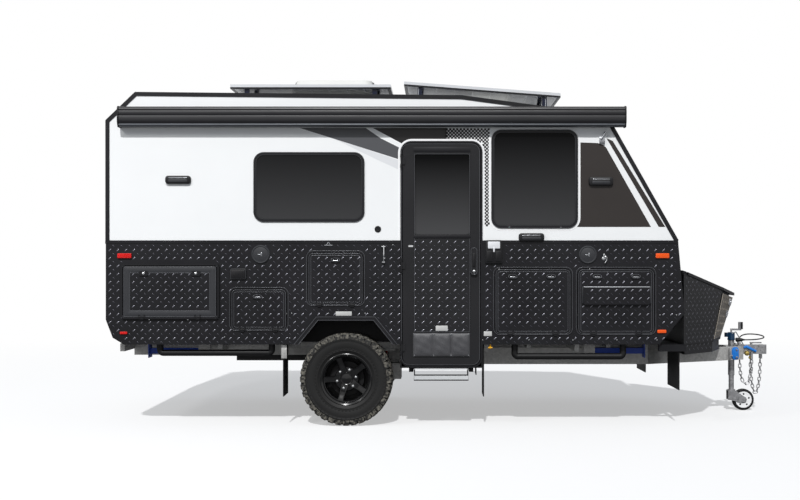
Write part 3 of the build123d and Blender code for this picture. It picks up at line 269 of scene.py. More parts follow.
def acrylic_with_painted_reflection(name, window_low, window_high, code_low, code_high):
    """Dark acrylic with a painted reflection: its colour lighter towards its lower edge."""
    surface = Surface(name, IOR=1.49, Specular_IOR_Level=0.07)
    rise = surface.axes()[2].ramp(window_low, window_high)
    smear = surface.noise(4.0, 3.0)
    surface.set(
        Base_Color=surface.mix(rise, tint(code_low), tint(code_high)),
        Roughness=0.05 + smear * 0.04,
    )
    return surface.material


def leather_grain(name, code, roughness):
    """Soft vinyl: pebbled grain with paler high spots."""
    surface = Surface(name, Sheen_Weight=0.15)
    pebble = surface.cells(420.0, "Distance")
    broad = surface.noise(18.0, 3.0)
    surface.set(
        Base_Color=surface.mix(broad, scaled(tint(code), 0.85), scaled(tint(code), 1.2)),
        Roughness=roughness + pebble * 0.12,
        Normal=surface.bump(pebble, 0.0006),
    )
    return surface.material


def cell_grid(name):
    """Solar cells: dark blue squares between fine silver bus bars."""
    surface = Surface(name, Specular_IOR_Level=0.25)
    x, y, _ = surface.axes()
    cell, gap, bar = 0.158, 0.003, 0.0016
    edge = (x % cell).below(gap)
    edge = surface.math("MAXIMUM", edge, (y % cell).below(gap))
    bars = (y % (cell / 3)).below(bar)
    shade = surface.noise(6.0, 2.0)
    cells = surface.mix(shade, tint("#0b1020"), tint("#151c33"))
    lined = surface.mix(bars * 0.6, cells, tint("#8d9198"))
    surface.set(
        Base_Color=surface.mix(edge, lined, tint("#c7c9cc")),
        Roughness=0.16 + shade * 0.05,
    )
    return surface.material


def lens(name, code, glow):
    """Moulded lamp lens with prism ribs; each rib is painted lighter towards its top as a painted highlight,
    and glow gives the lens a painted glow though the lamp is not lit.
    """
    surface = Surface(name, IOR=1.49, Emission_Strength=glow)
    rib_pitch = 0.004
    rib = (surface.axes()[2] % rib_pitch) / rib_pitch
    colour = tint(code)
    surface.set(
        Base_Color=surface.mix(rib, scaled(colour, 0.8), scaled(colour, 1.15)),
        Emission_Color=surface.mix(rib, scaled(colour, 0.8), colour),
        Roughness=0.12 + rib * 0.08,
        Normal=surface.bump(rib, 0.0005),
    )
    return surface.material


skin_white = finish("gel_coat_white", "#eeefef", 0.25, 0.01, 60.0, 0.0001, 0.05)
plate_black = finish("tread_plate_black", "#17171a", 0.42, 0.2, 500.0, 0.0002, 0.12, 0.2)
tread_pitch = 0.0345


def lit_and_shaded_lozenges(name, bright, dull):
    """Lozenge tops in lit and shaded copies: every second column, which leans away from the light, is painted
    darker as painted shade.
    """
    surface = Surface(name, Metallic=0.7)
    column = (surface.axes()[0] / tread_pitch + 0.5) % 2
    rubbed = surface.noise(40.0, 5.0)
    tone = surface.mix(column.above(1.0), tint(bright), tint(dull))
    surface.set(
        Base_Color=surface.mix(rubbed.ramp(0.35, 0.65), surface.mix(0.7, tint("#202024"), tone), tone),
        Roughness=0.3 + rubbed * 0.12,
    )
    return surface.material


lozenge_black = finish("lozenge_tops", "#55555b", 0.34, 0.25, 220.0, 0.0002, 0.16, Metallic=0.7)
lozenge_side = lit_and_shaded_lozenges("lozenge_side_tops", "#7c7c84", "#34343a")
lozenge_bare = finish("lozenge_tops_bare", "#a79e92", 0.3, 0.2, 220.0, 0.0002, 0.16, Metallic=0.7)
step_bright = finish("step_bright", "#d6d8d9", 0.3, 0.06, 300.0, 0.0001, 0.1, Metallic=0.25)
trim_black = finish("trim_black", "#151518", 0.38, 0.12, 400.0, 0.0001, 0.1, 0.25)
door_black = finish("door_frame_black", "#1f1f21", 0.4, 0.1, 400.0, 0.0001, 0.1, 0.2)
# Lighter grey on the thin beads and rolled edges of black parts: a painted highlight along those edges.
bead_black = finish("bead_black", "#5a5b5f", 0.3, 0.12, 300.0, 0.0001, 0.12, Metallic=0.5)
chassis_black = finish("chassis_black", "#151516", 0.5, 0.15, 200.0, 0.0003, 0.14, 0.2)
plastic_black = finish("moulded_black", "#161618", 0.5, 0.1, 700.0, 0.0002, 0.1, 0.25)
plastic_dark = finish("moulded_dark_grey", "#2f3033", 0.45, 0.1, 600.0, 0.0002, 0.1)
plastic_white = finish("moulded_white", "#e4e5e8", 0.4, 0.02, 600.0, 0.0001, 0.06)
roof_plastic = finish("roof_unit_white", "#dcdcd8", 0.45, 0.04, 300.0, 0.0002, 0.1)
dome_dark = finish("roof_dome_dark", "#1b1d24", 0.3, 0.06, 300.0, 0.0001, 0.08)
awning_black = finish("awning_case_black", "#1a1a1d", 0.34, 0.1, 300.0, 0.0001, 0.1, 0.35)
awning_grey = finish("awning_rail_grey", "#43464b", 0.35, 0.08, 300.0, 0.0001, 0.1, Metallic=0.3)
rim_gloss = finish("rim_gloss_black", "#0d0d0e", 0.2, 0.15, 200.0, 0.0, 0.08, 0.35, Coat_Weight=0.15)
rubber_black = finish("sheet_rubber", "#141415", 0.62, 0.15, 260.0, 0.0004, 0.14, 0.25)
cable_black = finish("cable_sheath", "#19191a", 0.5, 0.12, 500.0, 0.0002, 0.12)
blue_paint = finish("blue_enamel", "#1f74c8", 0.3, 0.15, 200.0, 0.0002, 0.12, Coat_Weight=0.2)
blue_dark = finish("blue_enamel_dark", "#12324f", 0.35, 0.15, 200.0, 0.0002, 0.12)
leg_blue = finish("leg_blue_enamel", "#1f3f9a", 0.35, 0.15, 200.0, 0.0002, 0.12)
damper_red = finish("damper_red", "#8c1512", 0.35, 0.15, 200.0, 0.0002, 0.1)
spring_black = finish("spring_black", "#202022", 0.42, 0.1, 200.0, 0.0002, 0.1)
tank_grey = finish("tank_polymer", "#242425", 0.6, 0.1, 200.0, 0.0003, 0.1)
chrome = finish("chrome_plate", "#d4d6d8", 0.14, 0.03, 200.0, 0.0, 0.05, Metallic=1.0)
latch_steel = finish("latch_steel", "#9b9da1", 0.25, 0.08, 200.0, 0.0001, 0.08, Metallic=0.9)
panel_edge = finish("panel_frame_silver", "#c9cbce", 0.35, 0.04, 400.0, 0.0001, 0.1, Metallic=0.2)
brass = finish("brass_knob", "#b09a5a", 0.3, 0.1, 200.0, 0.0001, 0.1, Metallic=0.8)
label_silver = finish("blank_label", "#c4c4c2", 0.4, 0.04, 300.0, 0.0, 0.05)
film_grey = finish("film_grey", "#4f5053", 0.3, 0.02, 200.0, 0.0, 0.04)
film_pale = finish("film_pale_grey", "#dcdddf", 0.3, 0.02, 200.0, 0.0, 0.04)
film_black = finish("film_black", "#1a1819", 0.3, 0.05, 200.0, 0.0, 0.04)
film_warm = finish("film_warm_black", "#34302e", 0.3, 0.05, 200.0, 0.0, 0.04, 0.2)
film_white = finish("film_white", "#f4f4f4", 0.3, 0.01, 200.0, 0.0, 0.04)
tap_yellow = finish("drain_tap_yellow", "#e0a416", 0.4, 0.05, 200.0, 0.0001, 0.06)
bare_plate = finish("bare_tread_plate", "#7b746b", 0.38, 0.2, 260.0, 0.0002, 0.16, Metallic=0.35)
galvanised = spangled("galvanised", "#b0afad", 0.5, 0.35)
zinc = spangled("zinc_plate", "#a0a0a2", 0.34, 0.7)
tyre_rubber = finish("tyre_rubber", "#171717", 0.6, 0.15, 180.0, 0.0006, 0.14, 0.25)
speckled_lugs = speckled_rubber("dusty_lug_rubber", "#1c1c1b", "#a39e92")
vinyl = leather_grain("pouch_vinyl", "#3c3c3f", 0.4)
solar_cells = cell_grid("solar_cells")
# The red and amber lenses get a faint painted glow, and all lenses painted highlights on their ribs.
red_lens = lens("lens_red", "#d20f0a", 0.05)
amber_lens = lens("lens_amber", "#f2560a", 0.08)
clear_lens = lens("lens_clear", "#d9dcdf", 0.0)
# Window and door panes are painted lighter towards the bottom: a painted reflection.
window_glass = acrylic_with_painted_reflection("window_acrylic", up(0.48), up(0.84), "#3c3c3d", "#020203")
door_glass = acrylic_with_painted_reflection("door_acrylic", up(0.44), up(0.74), "#464647", "#050506")

# What many pieces have in common: finish, body and slot
moulded = (plastic_black, "trailer", "black_plastic")
steel_fitting = (latch_steel, "trailer", "zinc_steel")
chrome_fitting = (chrome, "trailer", "zinc_steel")
tread_sheet = (plate_black, "trailer", "tread_plate")
white_film = (film_white, "trailer", "white_panel")

# CAD nodes take the finish of their slot
slot_finishes = {
    "white_panel": skin_white,
    "tread_plate": plate_black,
    "black_trim": trim_black,
    "glass": window_glass,
    "galvanised": galvanised,
    "chassis_black": chassis_black,
    "black_plastic": tank_grey,
    "awning_skin": awning_black,
    "solar_cell": solar_cells,
    "roof_plastic": roof_plastic,
    "tyre": tyre_rubber,
    "rim": rim_gloss,
    "rubber": rubber_black,
    "vinyl": vinyl,
    "lamp": red_lens,
    "damper_red": damper_red,
    "blue_paint": leg_blue,
    "zinc_steel": zinc,
    "cable": cable_black,
}
node_slots = {row["node"]: row["material_slot"] for row in frame["record"]["subparts"]}
node_finishes = {
    "door_leaf": door_black,
    "door_pane": door_glass,
    "floor_panel": chassis_black,
    "wheel_housings": chassis_black,
}


def coat(obj, material):
    obj.data.materials.clear()
    obj.data.materials.append(material)


for node, obj in frame["nodes"].items():
    coat(obj, node_finishes.get(node, slot_finishes[node_slots[node]]))


def body_holding(node):
    for name, members in frame["record"]["behaviour"]["bodies"].items():
        if node in members:
            return name
    raise KeyError(node)


# Meshes: a Form gathers shapes and becomes one piece
def settle(obj):
    """What the modifiers make becomes the object's own plain mesh."""
    graph = bpy.context.evaluated_depsgraph_get()
    made = bpy.data.meshes.new_from_object(obj.evaluated_get(graph))
    obj.modifiers.clear()
    old = obj.data
    obj.data = made
    bpy.data.meshes.remove(old)


def link(name, data):
    obj = bpy.data.objects.new(name, data)
    bpy.context.scene.collection.objects.link(obj)
    return obj


def shade(mesh, angle=32):
    mesh.shade_smooth()
    mesh.set_sharp_from_angle(angle=math.radians(angle))


def carry(obj, body):
    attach(obj, body)
    return obj


def arc(centre_x, centre_z, radius, start, end, steps):
    points = []
    for step in range(steps + 1):
        turn = math.radians(start + (end - start) * step / steps)
        points.append((centre_x + radius * math.cos(turn), centre_z + radius * math.sin(turn)))
    return points


def rounded(x_low, x_high, z_low, z_high, radius, steps=6):
    """A rectangle's outline with round corners, anticlockwise seen with x to the right."""
    points = arc(x_high - radius, z_low + radius, radius, -90, 0, steps)
    points += arc(x_high - radius, z_high - radius, radius, 0, 90, steps)
    points += arc(x_low + radius, z_high - radius, radius, 90, 180, steps)
    points += arc(x_low + radius, z_low + radius, radius, 180, 270, steps)
    return points


class Form:
    """Shapes gathered in one mesh. Shapes lie in x, y, z of the given placing."""

    def __init__(self, placing=None):
        self.bm = bmesh.new()
        self.placing = placing or Matrix.Identity(4)

    def vertex(self, x, y, z):
        return self.bm.verts.new(self.placing @ Vector((x, y, z)))

    def bands(self, loops, closed):
        """Quads between neighbouring loops of points, and the last and first if closed."""
        rows = [[self.vertex(*point) for point in loop] for loop in loops]
        pairs = list(zip(rows, rows[1:]))
        if closed:
            pairs.append((rows[-1], rows[0]))
        for first, second in pairs:
            for index in range(len(first)):
                self.bm.faces.new((first[index - 1], first[index], second[index], second[index - 1]))
        return rows

    def capped(self, loops):
        """Bands between the loops, with the first and the last loop filled."""
        rows = self.bands(loops, False)
        self.bm.faces.new(rows[0])
        self.bm.faces.new(rows[-1][::-1])
        return self

    def prism(self, outline, y_low, y_high):
        return self.capped([[(x, y, z) for x, z in outline] for y in (y_low, y_high)])

    def prism_across(self, outline, x_low, x_high):
        """A bar along x whose outline is in y and z."""
        return self.capped([[(x, y, z) for y, z in outline] for x in (x_low, x_high)])

    def ring(self, outer, inner, y_low, y_high):
        order = ((outer, y_low), (outer, y_high), (inner, y_high), (inner, y_low))
        self.bands([[(x, y, z) for x, z in outline] for outline, y in order], True)
        return self

    def block(self, corner_low, corner_high):
        x_low, y_low, z_low = corner_low
        x_high, y_high, z_high = corner_high
        outline = [(x_low, z_low), (x_high, z_low), (x_high, z_high), (x_low, z_high)]
        return self.prism(outline, y_low, y_high)

    def lathe(self, profile, centre, axis=(0, 1, 0), steps=48, closed=True):
        """Turns (radius, distance along the axis) points about an axis through centre."""
        axis = Vector(axis).normalized()
        across = axis.orthogonal().normalized()
        other = axis.cross(across)
        loops = []
        for radius, reach in profile:
            loop = []
            for step in range(steps):
                turn = 2 * math.pi * step / steps
                spoke = across * math.cos(turn) + other * math.sin(turn)
                loop.append(tuple(Vector(centre) + axis * reach + spoke * radius))
            loops.append(loop)
        if not closed:
            return self.capped(loops)
        self.bands(loops, True)
        return self

    def rod(self, start, end, radius, steps=20, tip=1.0):
        """A round bar from start to end, with the far end's radius times tip."""
        start, end = Vector(start), Vector(end)
        reach = (end - start).length
        profile = [(radius, 0), (radius * tip, reach)]
        return self.lathe(profile, start, end - start, steps, False)

    def make(self, name, material, body, slot, bevel=0.0, segments=2, angle=32):
        bmesh.ops.recalc_face_normals(self.bm, faces=self.bm.faces)
        mesh = bpy.data.meshes.new(name)
        self.bm.to_mesh(mesh)
        self.bm.free()
        obj = link(name, mesh)
        mesh.materials.append(material)
        if bevel:
            edge = obj.modifiers.new("edges", "BEVEL")
            edge.width = bevel
            edge.segments = segments
            edge.limit_method = "ANGLE"
            edge.angle_limit = math.radians(30)
            settle(obj)
        shade(obj.data, angle)
        return carry(obj, body) if body else obj


def bent_line(name, points, radius, steps):
    """A round curve that bends along points, in steps from one point to the next."""
    curve = bpy.data.curves.new(name, "CURVE")
    curve.dimensions = "3D"
    curve.bevel_depth = radius
    curve.bevel_resolution = 4
    curve.use_fill_caps = True
    curve.resolution_u = steps
    spline = curve.splines.new("NURBS")
    spline.points.add(len(points) - 1)
    for spot, point in zip(spline.points, points):
        spot.co = (*point, 1)
    spline.order_u = 3
    spline.use_endpoint_u = True
    return link(name, curve)


def pipe(name, points, radius, material, body, slot):
    """A round bar bent along points."""
    obj = bent_line(name + "_line", points, radius, 6)
    graph = bpy.context.evaluated_depsgraph_get()
    mesh = bpy.data.meshes.new_from_object(obj.evaluated_get(graph))
    bpy.data.objects.remove(obj)
    made = link(name, mesh)
    mesh.materials.clear()
    mesh.materials.append(material)
    shade(mesh)
    return carry(made, body)


# Geometry node trees for what repeats
class Repeater(Tree):
    def __init__(self, name):
        group = bpy.data.node_groups.new(name, "GeometryNodeTree")
        super().__init__(group)
        self.entry = group.nodes.new("NodeGroupInput")
        self.exit = group.nodes.new("NodeGroupOutput")
        group.interface.new_socket(name="Geometry", in_out="OUTPUT", socket_type="NodeSocketGeometry")
        self.input("Geometry", "Geometry")

    def input(self, name, kind, default=None):
        socket = self.tree.interface.new_socket(name=name, in_out="INPUT", socket_type="NodeSocket" + kind)
        if default is not None:
            socket.default_value = default
        return Value(self, self.entry.outputs[name])

    def model(self):
        """The shape to repeat, which each run names."""
        shape = self.input("Shape", "Object")
        return self.add("GeometryNodeObjectInfo", {}, {"Object": shape}, "Geometry")

    def finish(self, geometry):
        material = self.input("Finish", "Material")
        whole = self.add("GeometryNodeRealizeInstances", {}, {"Geometry": geometry})
        coated = self.add("GeometryNodeSetMaterial", {}, {"Geometry": whole, "Material": material})
        self.feed(self.exit.inputs["Geometry"], coated)
        return self

    def run(self, name, mesh, body, slot, **values):
        """The tree's result on mesh as a piece of its own."""
        obj = link(name, mesh)
        modifier = obj.modifiers.new(name, "NODES")
        modifier.node_group = self.tree
        for item in self.tree.interface.items_tree:
            if item.in_out == "INPUT" and item.name in values:
                modifier[item.identifier] = values[item.name]
        obj.update_tag()
        settle(obj)
        shade(obj.data)
        return carry(obj, body)


def spread_tree():
    """A shape set on every point, turned and sized as the points say."""
    tree = Repeater("shape on points")
    points = Value(tree, tree.entry.outputs["Geometry"])
    vector = {"data_type": "FLOAT_VECTOR"}
    turn = tree.add("GeometryNodeInputNamedAttribute", vector, {"Name": "turn"})
    scale = tree.add("GeometryNodeInputNamedAttribute", vector, {"Name": "size"})
    values = {"Points": points, "Instance": tree.model(), "Rotation": turn, "Scale": scale}
    return tree.finish(tree.add("GeometryNodeInstanceOnPoints", {}, values))


def circle_tree():
    """A shape that stands at one place on a wheel, repeated round the wheel's axle."""
    tree = Repeater("shape round an axle")
    count = tree.input("Count", "Int", 6)
    centre = tree.input("Centre", "Vector")
    points = tree.add("GeometryNodePoints", {}, {"Count": count})
    index = tree.add("GeometryNodeInputIndex")
    turn = tree.add("ShaderNodeCombineXYZ", {}, {"Y": index * (2 * math.pi) / count})
    values = {"Points": points, "Instance": tree.model(), "Rotation": turn}
    placed = tree.add("GeometryNodeInstanceOnPoints", {}, values)
    return tree.finish(tree.add("GeometryNodeTransform", {}, {"Geometry": placed, "Translation": centre}))


def coil_tree():
    """A spring's wire wound upwards from its foot."""
    tree = Repeater("coil spring")
    turns = tree.input("Turns", "Float", 6.0)
    radius = tree.input("Radius", "Float", 0.05)
    height = tree.input("Height", "Float", 0.2)
    wire = tree.input("Wire", "Float", 0.007)
    foot = tree.input("Foot", "Vector")
    values = {"Resolution": 40, "Rotations": turns, "Height": height}
    values.update({"Start Radius": radius, "End Radius": radius})
    helix = tree.add("GeometryNodeCurveSpiral", {}, values)
    ring = tree.add("GeometryNodeCurvePrimitiveCircle", {}, {"Resolution": 10, "Radius": wire})
    values = {"Curve": helix, "Profile Curve": ring, "Fill Caps": True}
    body = tree.add("GeometryNodeCurveToMesh", {}, values)
    return tree.finish(tree.add("GeometryNodeTransform", {}, {"Geometry": body, "Translation": foot}))


def chain_tree():
    """Links along a line, each turned a quarter from the last."""
    tree = Repeater("chain along a line")
    line = Value(tree, tree.entry.outputs["Geometry"])
    pitch = tree.input("Pitch", "Float", 0.034)
    curve = tree.add("GeometryNodeMeshToCurve", {}, {"Mesh": line})
    settings = {"mode": "LENGTH"}
    even = tree.add("GeometryNodeResampleCurve", settings, {"Curve": curve, "Length": pitch})
    tangent = tree.add("GeometryNodeInputTangent")
    heading = tree.add("FunctionNodeAlignEulerToVector", {"axis": "X"}, {"Vector": tangent})
    index = tree.add("GeometryNodeInputIndex")
    quarter = tree.add("ShaderNodeCombineXYZ", {}, {"X": (index % 2) * (math.pi / 2)})
    settings = {"space": "LOCAL"}
    twist = tree.add("FunctionNodeRotateEuler", settings, {"Rotation": heading, "Rotate By": quarter})
    values = {"Points": even, "Instance": tree.model(), "Rotation": twist}
    return tree.finish(tree.add("GeometryNodeInstanceOnPoints", {}, values))


spread = spread_tree()
circle = circle_tree()
coil = coil_tree()
chain = chain_tree()


def scatter(name, shape, places, material, body, slot):
    """One piece of many copies of shape. places are rows of (spot, turn as a matrix, size)."""
    mesh = bpy.data.meshes.new(name)
    mesh.from_pydata([tuple(spot) for spot, _, _ in places], [], [])
    turns = mesh.attributes.new("turn", "FLOAT_VECTOR", "POINT")
    sizes = mesh.attributes.new("size", "FLOAT_VECTOR", "POINT")
    for index, (_, turn, size) in enumerate(places):
        turns.data[index].vector = turn.to_euler()
        sizes.data[index].vector = size
    return spread.run(name, mesh, body, slot, Shape=shape, Finish=material)


def scatter_alike(name, shape, spots, turn, size, material, body, slot):
    """One piece of copies of shape on the spots, all turned and sized alike."""
    scatter(name, shape, [(spot, turn, size) for spot in spots], material, body, slot)


templates = []


def template(form, name):
    """A shape that only the repeaters use; it is taken away at the end."""
    obj = form.make(name, trim_black, None, None)
    obj.hide_render = True
    templates.append(obj)
    return obj


def facing(normal, upward=(0, 0, 1)):
    """A turn whose z points along normal and whose y points as near upward as it can."""
    normal = Vector(normal).normalized()
    across = Vector(upward).cross(normal)
    if across.length < 1e-6:
        across = Vector((1, 0, 0))
    across.normalize()
    rise = normal.cross(across)
    return Matrix((across, rise, normal)).transposed()


out_of_wall = {side: facing((0, side, 0)) for side in SIDE_NAMES}


lozenge = template(
    Form().lathe([(0.5, 0), (0.34, 0.75), (0.14, 1.0)], (0, 0, 0), (0, 0, 1), 6, False), "lozenge_shape"
)
dome_head = template(
    Form().lathe([(0.5, 0), (0.46, 0.35), (0.3, 0.62), (0.12, 0.7)], (0, 0, 0), (0, 0, 1), 12, False),
    "dome_head_shape",
)
hex_nut = template(
    Form().lathe([(0.5, 0), (0.5, 0.7), (0.42, 0.85), (0.24, 0.95)], (0, 0, 0), (0, 0, 1), 6, False),
    "hex_nut_shape",
)

# All CAD solids as one search tree, to find where a face is open to view
solid_points, solid_faces, face_nodes = [], [], []
for node, obj in frame["nodes"].items():
    start = len(solid_points)
    face_nodes += [node] * len(obj.data.polygons)
    solid_points += [obj.matrix_world @ vertex.co for vertex in obj.data.vertices]
    solid_faces += [[start + index for index in polygon.vertices] for polygon in obj.data.polygons]
solids = BVHTree.FromPolygons(solid_points, solid_faces)

tread_length = 0.031
lozenge_size = (tread_length, 0.0105, 0.0022)
clear_view = 0.12
flat_slack = 0.0008
twist_slack = 0.06
bend_slack = 0.0006
step_slack = 0.005
same_face = math.cos(math.radians(8.5))
least_facing = 0.7
least_area = 0.02
lozenge_reach = 0.62


def flat_faces(node, ways):
    """(normal, corner points) of each large flat face of a node that looks one of the ways."""
    obj = frame["nodes"][node]
    planes = {}
    for polygon in obj.data.polygons:
        normal = (obj.matrix_world.to_3x3() @ polygon.normal).normalized()
        if max(normal.dot(Vector(way)) for way in ways) < least_facing:
            continue
        points = [obj.matrix_world @ obj.data.vertices[index].co for index in polygon.vertices]
        key = tuple(round(part, 2) for part in normal) + (round(normal.dot(points[0]), 3),)
        rows = planes.setdefault(key, [normal, 0.0, []])
        rows[1] += polygon.area
        rows[2] += points
    centre = middle(node)
    faces = []
    for normal, area, points in planes.values():
        if area > least_area and (points[0] - centre).dot(normal) > -0.004:
            faces.append((normal, points))
    return faces


def open_spot(node, spot, long_way, normal, slack):
    """Where a lozenge can stand near spot, and which way its face looks, or None."""
    hits = []
    for reach in (-lozenge_reach, 0.0, lozenge_reach):
        start = spot + long_way * (tread_length * reach) + normal * clear_view
        hit, face_normal, face, distance = solids.ray_cast(start, -normal)
        if hit is None or face_nodes[face] != node or abs(distance - clear_view) > slack:
            return None
        if abs(face_normal.dot(normal)) < same_face:
            return None
        hits.append((distance, hit, face_normal))
    depths = [distance for distance, _, _ in hits]
    if abs(depths[0] + depths[2] - 2 * depths[1]) > bend_slack or abs(depths[0] - depths[2]) > step_slack:
        return None
    _, hit, face_normal = hits[1]
    return hit, face_normal if face_normal.dot(normal) > 0 else -face_normal


def tread(name, node, normal, points, within=None, lift=0.0, slack=flat_slack):
    """Raised lozenges, leaning left and right by turns, wherever a node's face is open to view."""
    turn = facing(normal)
    across, rise = turn.col[0], turn.col[1]
    level = normal.dot(points[0])
    lows = [min(axis.dot(point) for point in points) for axis in (across, rise)]
    highs = [max(axis.dot(point) for point in points) for axis in (across, rise)]
    first = [math.floor(value / tread_pitch) for value in lows]
    last = [math.ceil(value / tread_pitch) for value in highs]
    places = []
    for column in range(first[0], last[0] + 1):
        for row in range(first[1], last[1] + 1):
            if (column + row) % 2:
                continue
            spot = across * (column * tread_pitch) + rise * (row * tread_pitch) + normal * level
            lean = math.radians(-45 if column % 2 else 45)
            long_way = across * math.cos(lean) + rise * math.sin(lean)
            if within and not within(spot):
                continue
            found = open_spot(node, spot, long_way, normal, slack)
            if found:
                hit, face_normal = found
                local = facing(face_normal) @ Matrix.Rotation(lean, 3, "Z")
                places.append((hit + face_normal * lift, local, lozenge_size))
    if places:
        # On the side walls every second column of lozenges is painted darker: painted shade on those leaning
        # away from the light.
        material = lozenge_side if abs(normal.y) == 1 else lozenge_black
        scatter(name, lozenge, places, material, body_holding(node), "tread_plate")


near_way, far_way = (0, -1, 0), (0, 1, 0)
corner_lift = 0.0025
border = 0.03
table_border = 0.066


def inside_leaf(node):
    """The test for a point that lies within a leaf's tread field."""
    edge = table_border if node == "table_hatch" else border
    field_low, field_high = low(node), high(node)

    def test(point):
        across = field_low.x + edge < point.x < field_high.x - edge
        return across and field_low.z + edge < point.z < field_high.z - edge

    return test


def inside_door(point):
    across = along(0.5330) < point.x < along(0.6287)
    return across and up(0.05) < point.z < up(0.418)


for node, ways in (
    ("cladding_near", (near_way,)),
    ("cladding_far", (far_way,)),
    ("hatch_low", (near_way,)),
    ("hatch_mid", (near_way,)),
    ("hatch_fore", (near_way,)),
    ("hatch_front", (near_way,)),
    ("table_hatch", (near_way,)),
    ("hatch_far_rear", (far_way,)),
    ("hatch_far_front", (far_way,)),
    ("door_leaf", (near_way,)),
    ("toolbox_lid", ((0, 0, 1),)),
):
    for count, (normal, points) in enumerate(flat_faces(node, ways)):
        within = None
        if node.startswith("hatch_") or node == "table_hatch":
            within = inside_leaf(node)
        if node == "door_leaf":
            within = inside_door
        tread(f"{node}_tread_{count}", node, normal, points, within)


# The toolbox narrows forwards: its sides' ends as shares of the nose and of the width
box_rear, box_fore = (0.02, 0.960), (0.420, 0.569)
nose_start = high("wall_near").x
nose_length = cad_box[1][0] - nose_start
shell_low, shell_high = low("toolbox_shell"), high("toolbox_shell")


def nose(share):
    return nose_start + share * nose_length


def nose_point(share, width_share, side, z):
    return Vector((nose(share), side * width_share * half_width, z))


for side in (NEAR, FAR):
    start = nose_point(*box_rear, side, shell_low.z)
    end = nose_point(*box_fore, side, shell_high.z)
    run = Vector((end.x - start.x, end.y - start.y, 0))
    normal = Vector((-run.y, run.x, 0)).normalized() * side
    centre = (start + end) / 2
    points = [centre - run, centre + run, start, end]
    tread("toolbox_tread_side_" + SIDE_NAMES[side], "toolbox_shell", normal, points, slack=twist_slack)


# Sheets of film on the side walls, as outlines in shares of the body
film_rise = 0.0006
grey_band = ((0.3349, 0.8591), (0.4491, 0.8591), (0.4747, 0.8186), (0.5079, 0.7801), (0.5079, 0.7337))
pale_sweep = ((0.392, 0.8194), (0.5079, 0.7297), (0.5079, 0.6924), (0.4698, 0.7321))
black_wedge = ((0.4612, 0.8591), (0.5157, 0.7924), (0.5157, 0.8591))
black_bar = ((0.5157, 0.8591), (0.5892, 0.8591), (0.5892, 0.803), (0.5157, 0.803))
front_panel = (
    (0.819, 0.802),
    (0.8501, 0.7992),
    (0.8595, 0.792),
    (0.8646, 0.7821),
    (0.9423, 0.4662),
    (0.8148, 0.4662),
)
front_stripe = ((0.865, 0.8194), (0.8762, 0.8075), (0.967, 0.4662), (0.9558, 0.4662))
films = {
    "grey_band": (grey_band, film_grey),
    "pale_sweep": (pale_sweep, film_pale),
    "black_wedge": (black_wedge, film_black),
    "black_bar": (black_bar, film_black),
    "front_panel": (front_panel, film_warm),
    "front_stripe": (front_stripe, film_warm),
}
for side in (NEAR, FAR):
    for name, (outline, material) in films.items():
        points = [(along(x_share), up(z_share)) for x_share, z_share in outline]
        y_low, y_high = sorted((side * half_width, side * (half_width + film_rise)))
        form = Form().prism(points, y_low, y_high)
        form.make(f"{name}_{SIDE_NAMES[side]}", material, "trailer", "black_trim")

# Fading mesh of small black diamonds over and ahead of the door
diamond = template(Form().lathe([(0.5, 0), (0.5, 1)], (0, 0, 0), (0, 0, 1), 4, False), "diamond_shape")
diamond_pitch = 0.030
diamond_rows, diamond_columns = 200, 60
least_diamond, diamond_growth, growth_reach = 0.0255, 0.003, 0.3
mesh_top = (0.5892, 0.6635, 0.803, 0.8591)
mesh_strip = (0.6497, 0.6627, 0.466, 0.8591)


def in_shares(spot, area):
    x_low, x_high, z_low, z_high = area
    return along(x_low) < spot.x < along(x_high) and up(z_low) < spot.z < up(z_high)


for side in (NEAR, FAR):
    places = []
    for row in range(diamond_rows):
        for column in range(diamond_columns):
            x = along(mesh_top[0]) + (column + (row % 2) / 2) * diamond_pitch
            z = up(mesh_strip[2]) + row * diamond_pitch / 2
            spot = Vector((x, side * half_width, z))
            if not (in_shares(spot, mesh_top) or in_shares(spot, mesh_strip)):
                continue
            share = max(0.0, 1 - (x - along(mesh_top[0])) / growth_reach)
            size = least_diamond + diamond_growth * share
            places.append((spot, out_of_wall[side], (size, size, film_rise)))
    scatter(f"diamond_mesh_{SIDE_NAMES[side]}", diamond, places, film_black, "trailer", "black_trim")


# Road wheels: tyre carcass with lugs and side biters, rim with spokes, nuts, cap and drum
lug_count = 36
lug_foot, lug_crown, lug_bevel = 1.12, 0.9, 0.003
mark_count = 54
tread_radius = (high("tyre_near").z - low("tyre_near").z) / 2
carcass_half = [
    (0.205, 0.1),
    (0.212, 0.108),
    (0.226, 0.11),
    (0.237, 0.1175),
    (0.246, 0.1215),
    (0.249, 0.125),
    (0.254, 0.125),
    (0.257, 0.1235),
    (0.275, 0.129),
    (0.3, 0.1318),
    (0.325, 0.1315),
    (0.34, 0.1295),
    (0.343, 0.1315),
    (0.348, 0.1315),
    (0.351, 0.128),
    (0.365, 0.1245),
    (0.377, 0.117),
    (0.383, 0.105),
    (0.385, 0.06),
]
spoke_angles = (254, 326, 38, 110, 182)
nut_count = 6
nut_ring, nut_face, nut_size = 0.083, 0.06, (0.024, 0.024, 0.02)
hub_radius = 0.106
hub_profile = [
    (0.0, 0.0),
    (hub_radius, 0.0),
    (hub_radius, 0.052),
    (0.1, 0.06),
    (0.062, 0.062),
    (0.058, 0.056),
    (0.0, 0.056),
]
cap_profile = [
    (0.0, 0.055),
    (0.053, 0.055),
    (0.053, 0.068),
    (0.049, 0.0715),
    (0.044, 0.069),
    (0.03, 0.073),
    (0.0, 0.0745),
]
lip_profile = [(0.2235, 0.1145), (0.2195, 0.1165), (0.2155, 0.1145), (0.2195, 0.1125)]
drum_profile = [
    (0.03, 0.0),
    (0.148, 0.0),
    (0.15, -0.008),
    (0.146, -0.014),
    (0.15, -0.02),
    (0.15, -0.06),
    (0.14, -0.07),
    (0.03, -0.07),
]
backing_profile = [(0.03, -0.060), (0.185, -0.060), (0.185, -0.064), (0.03, -0.064)]
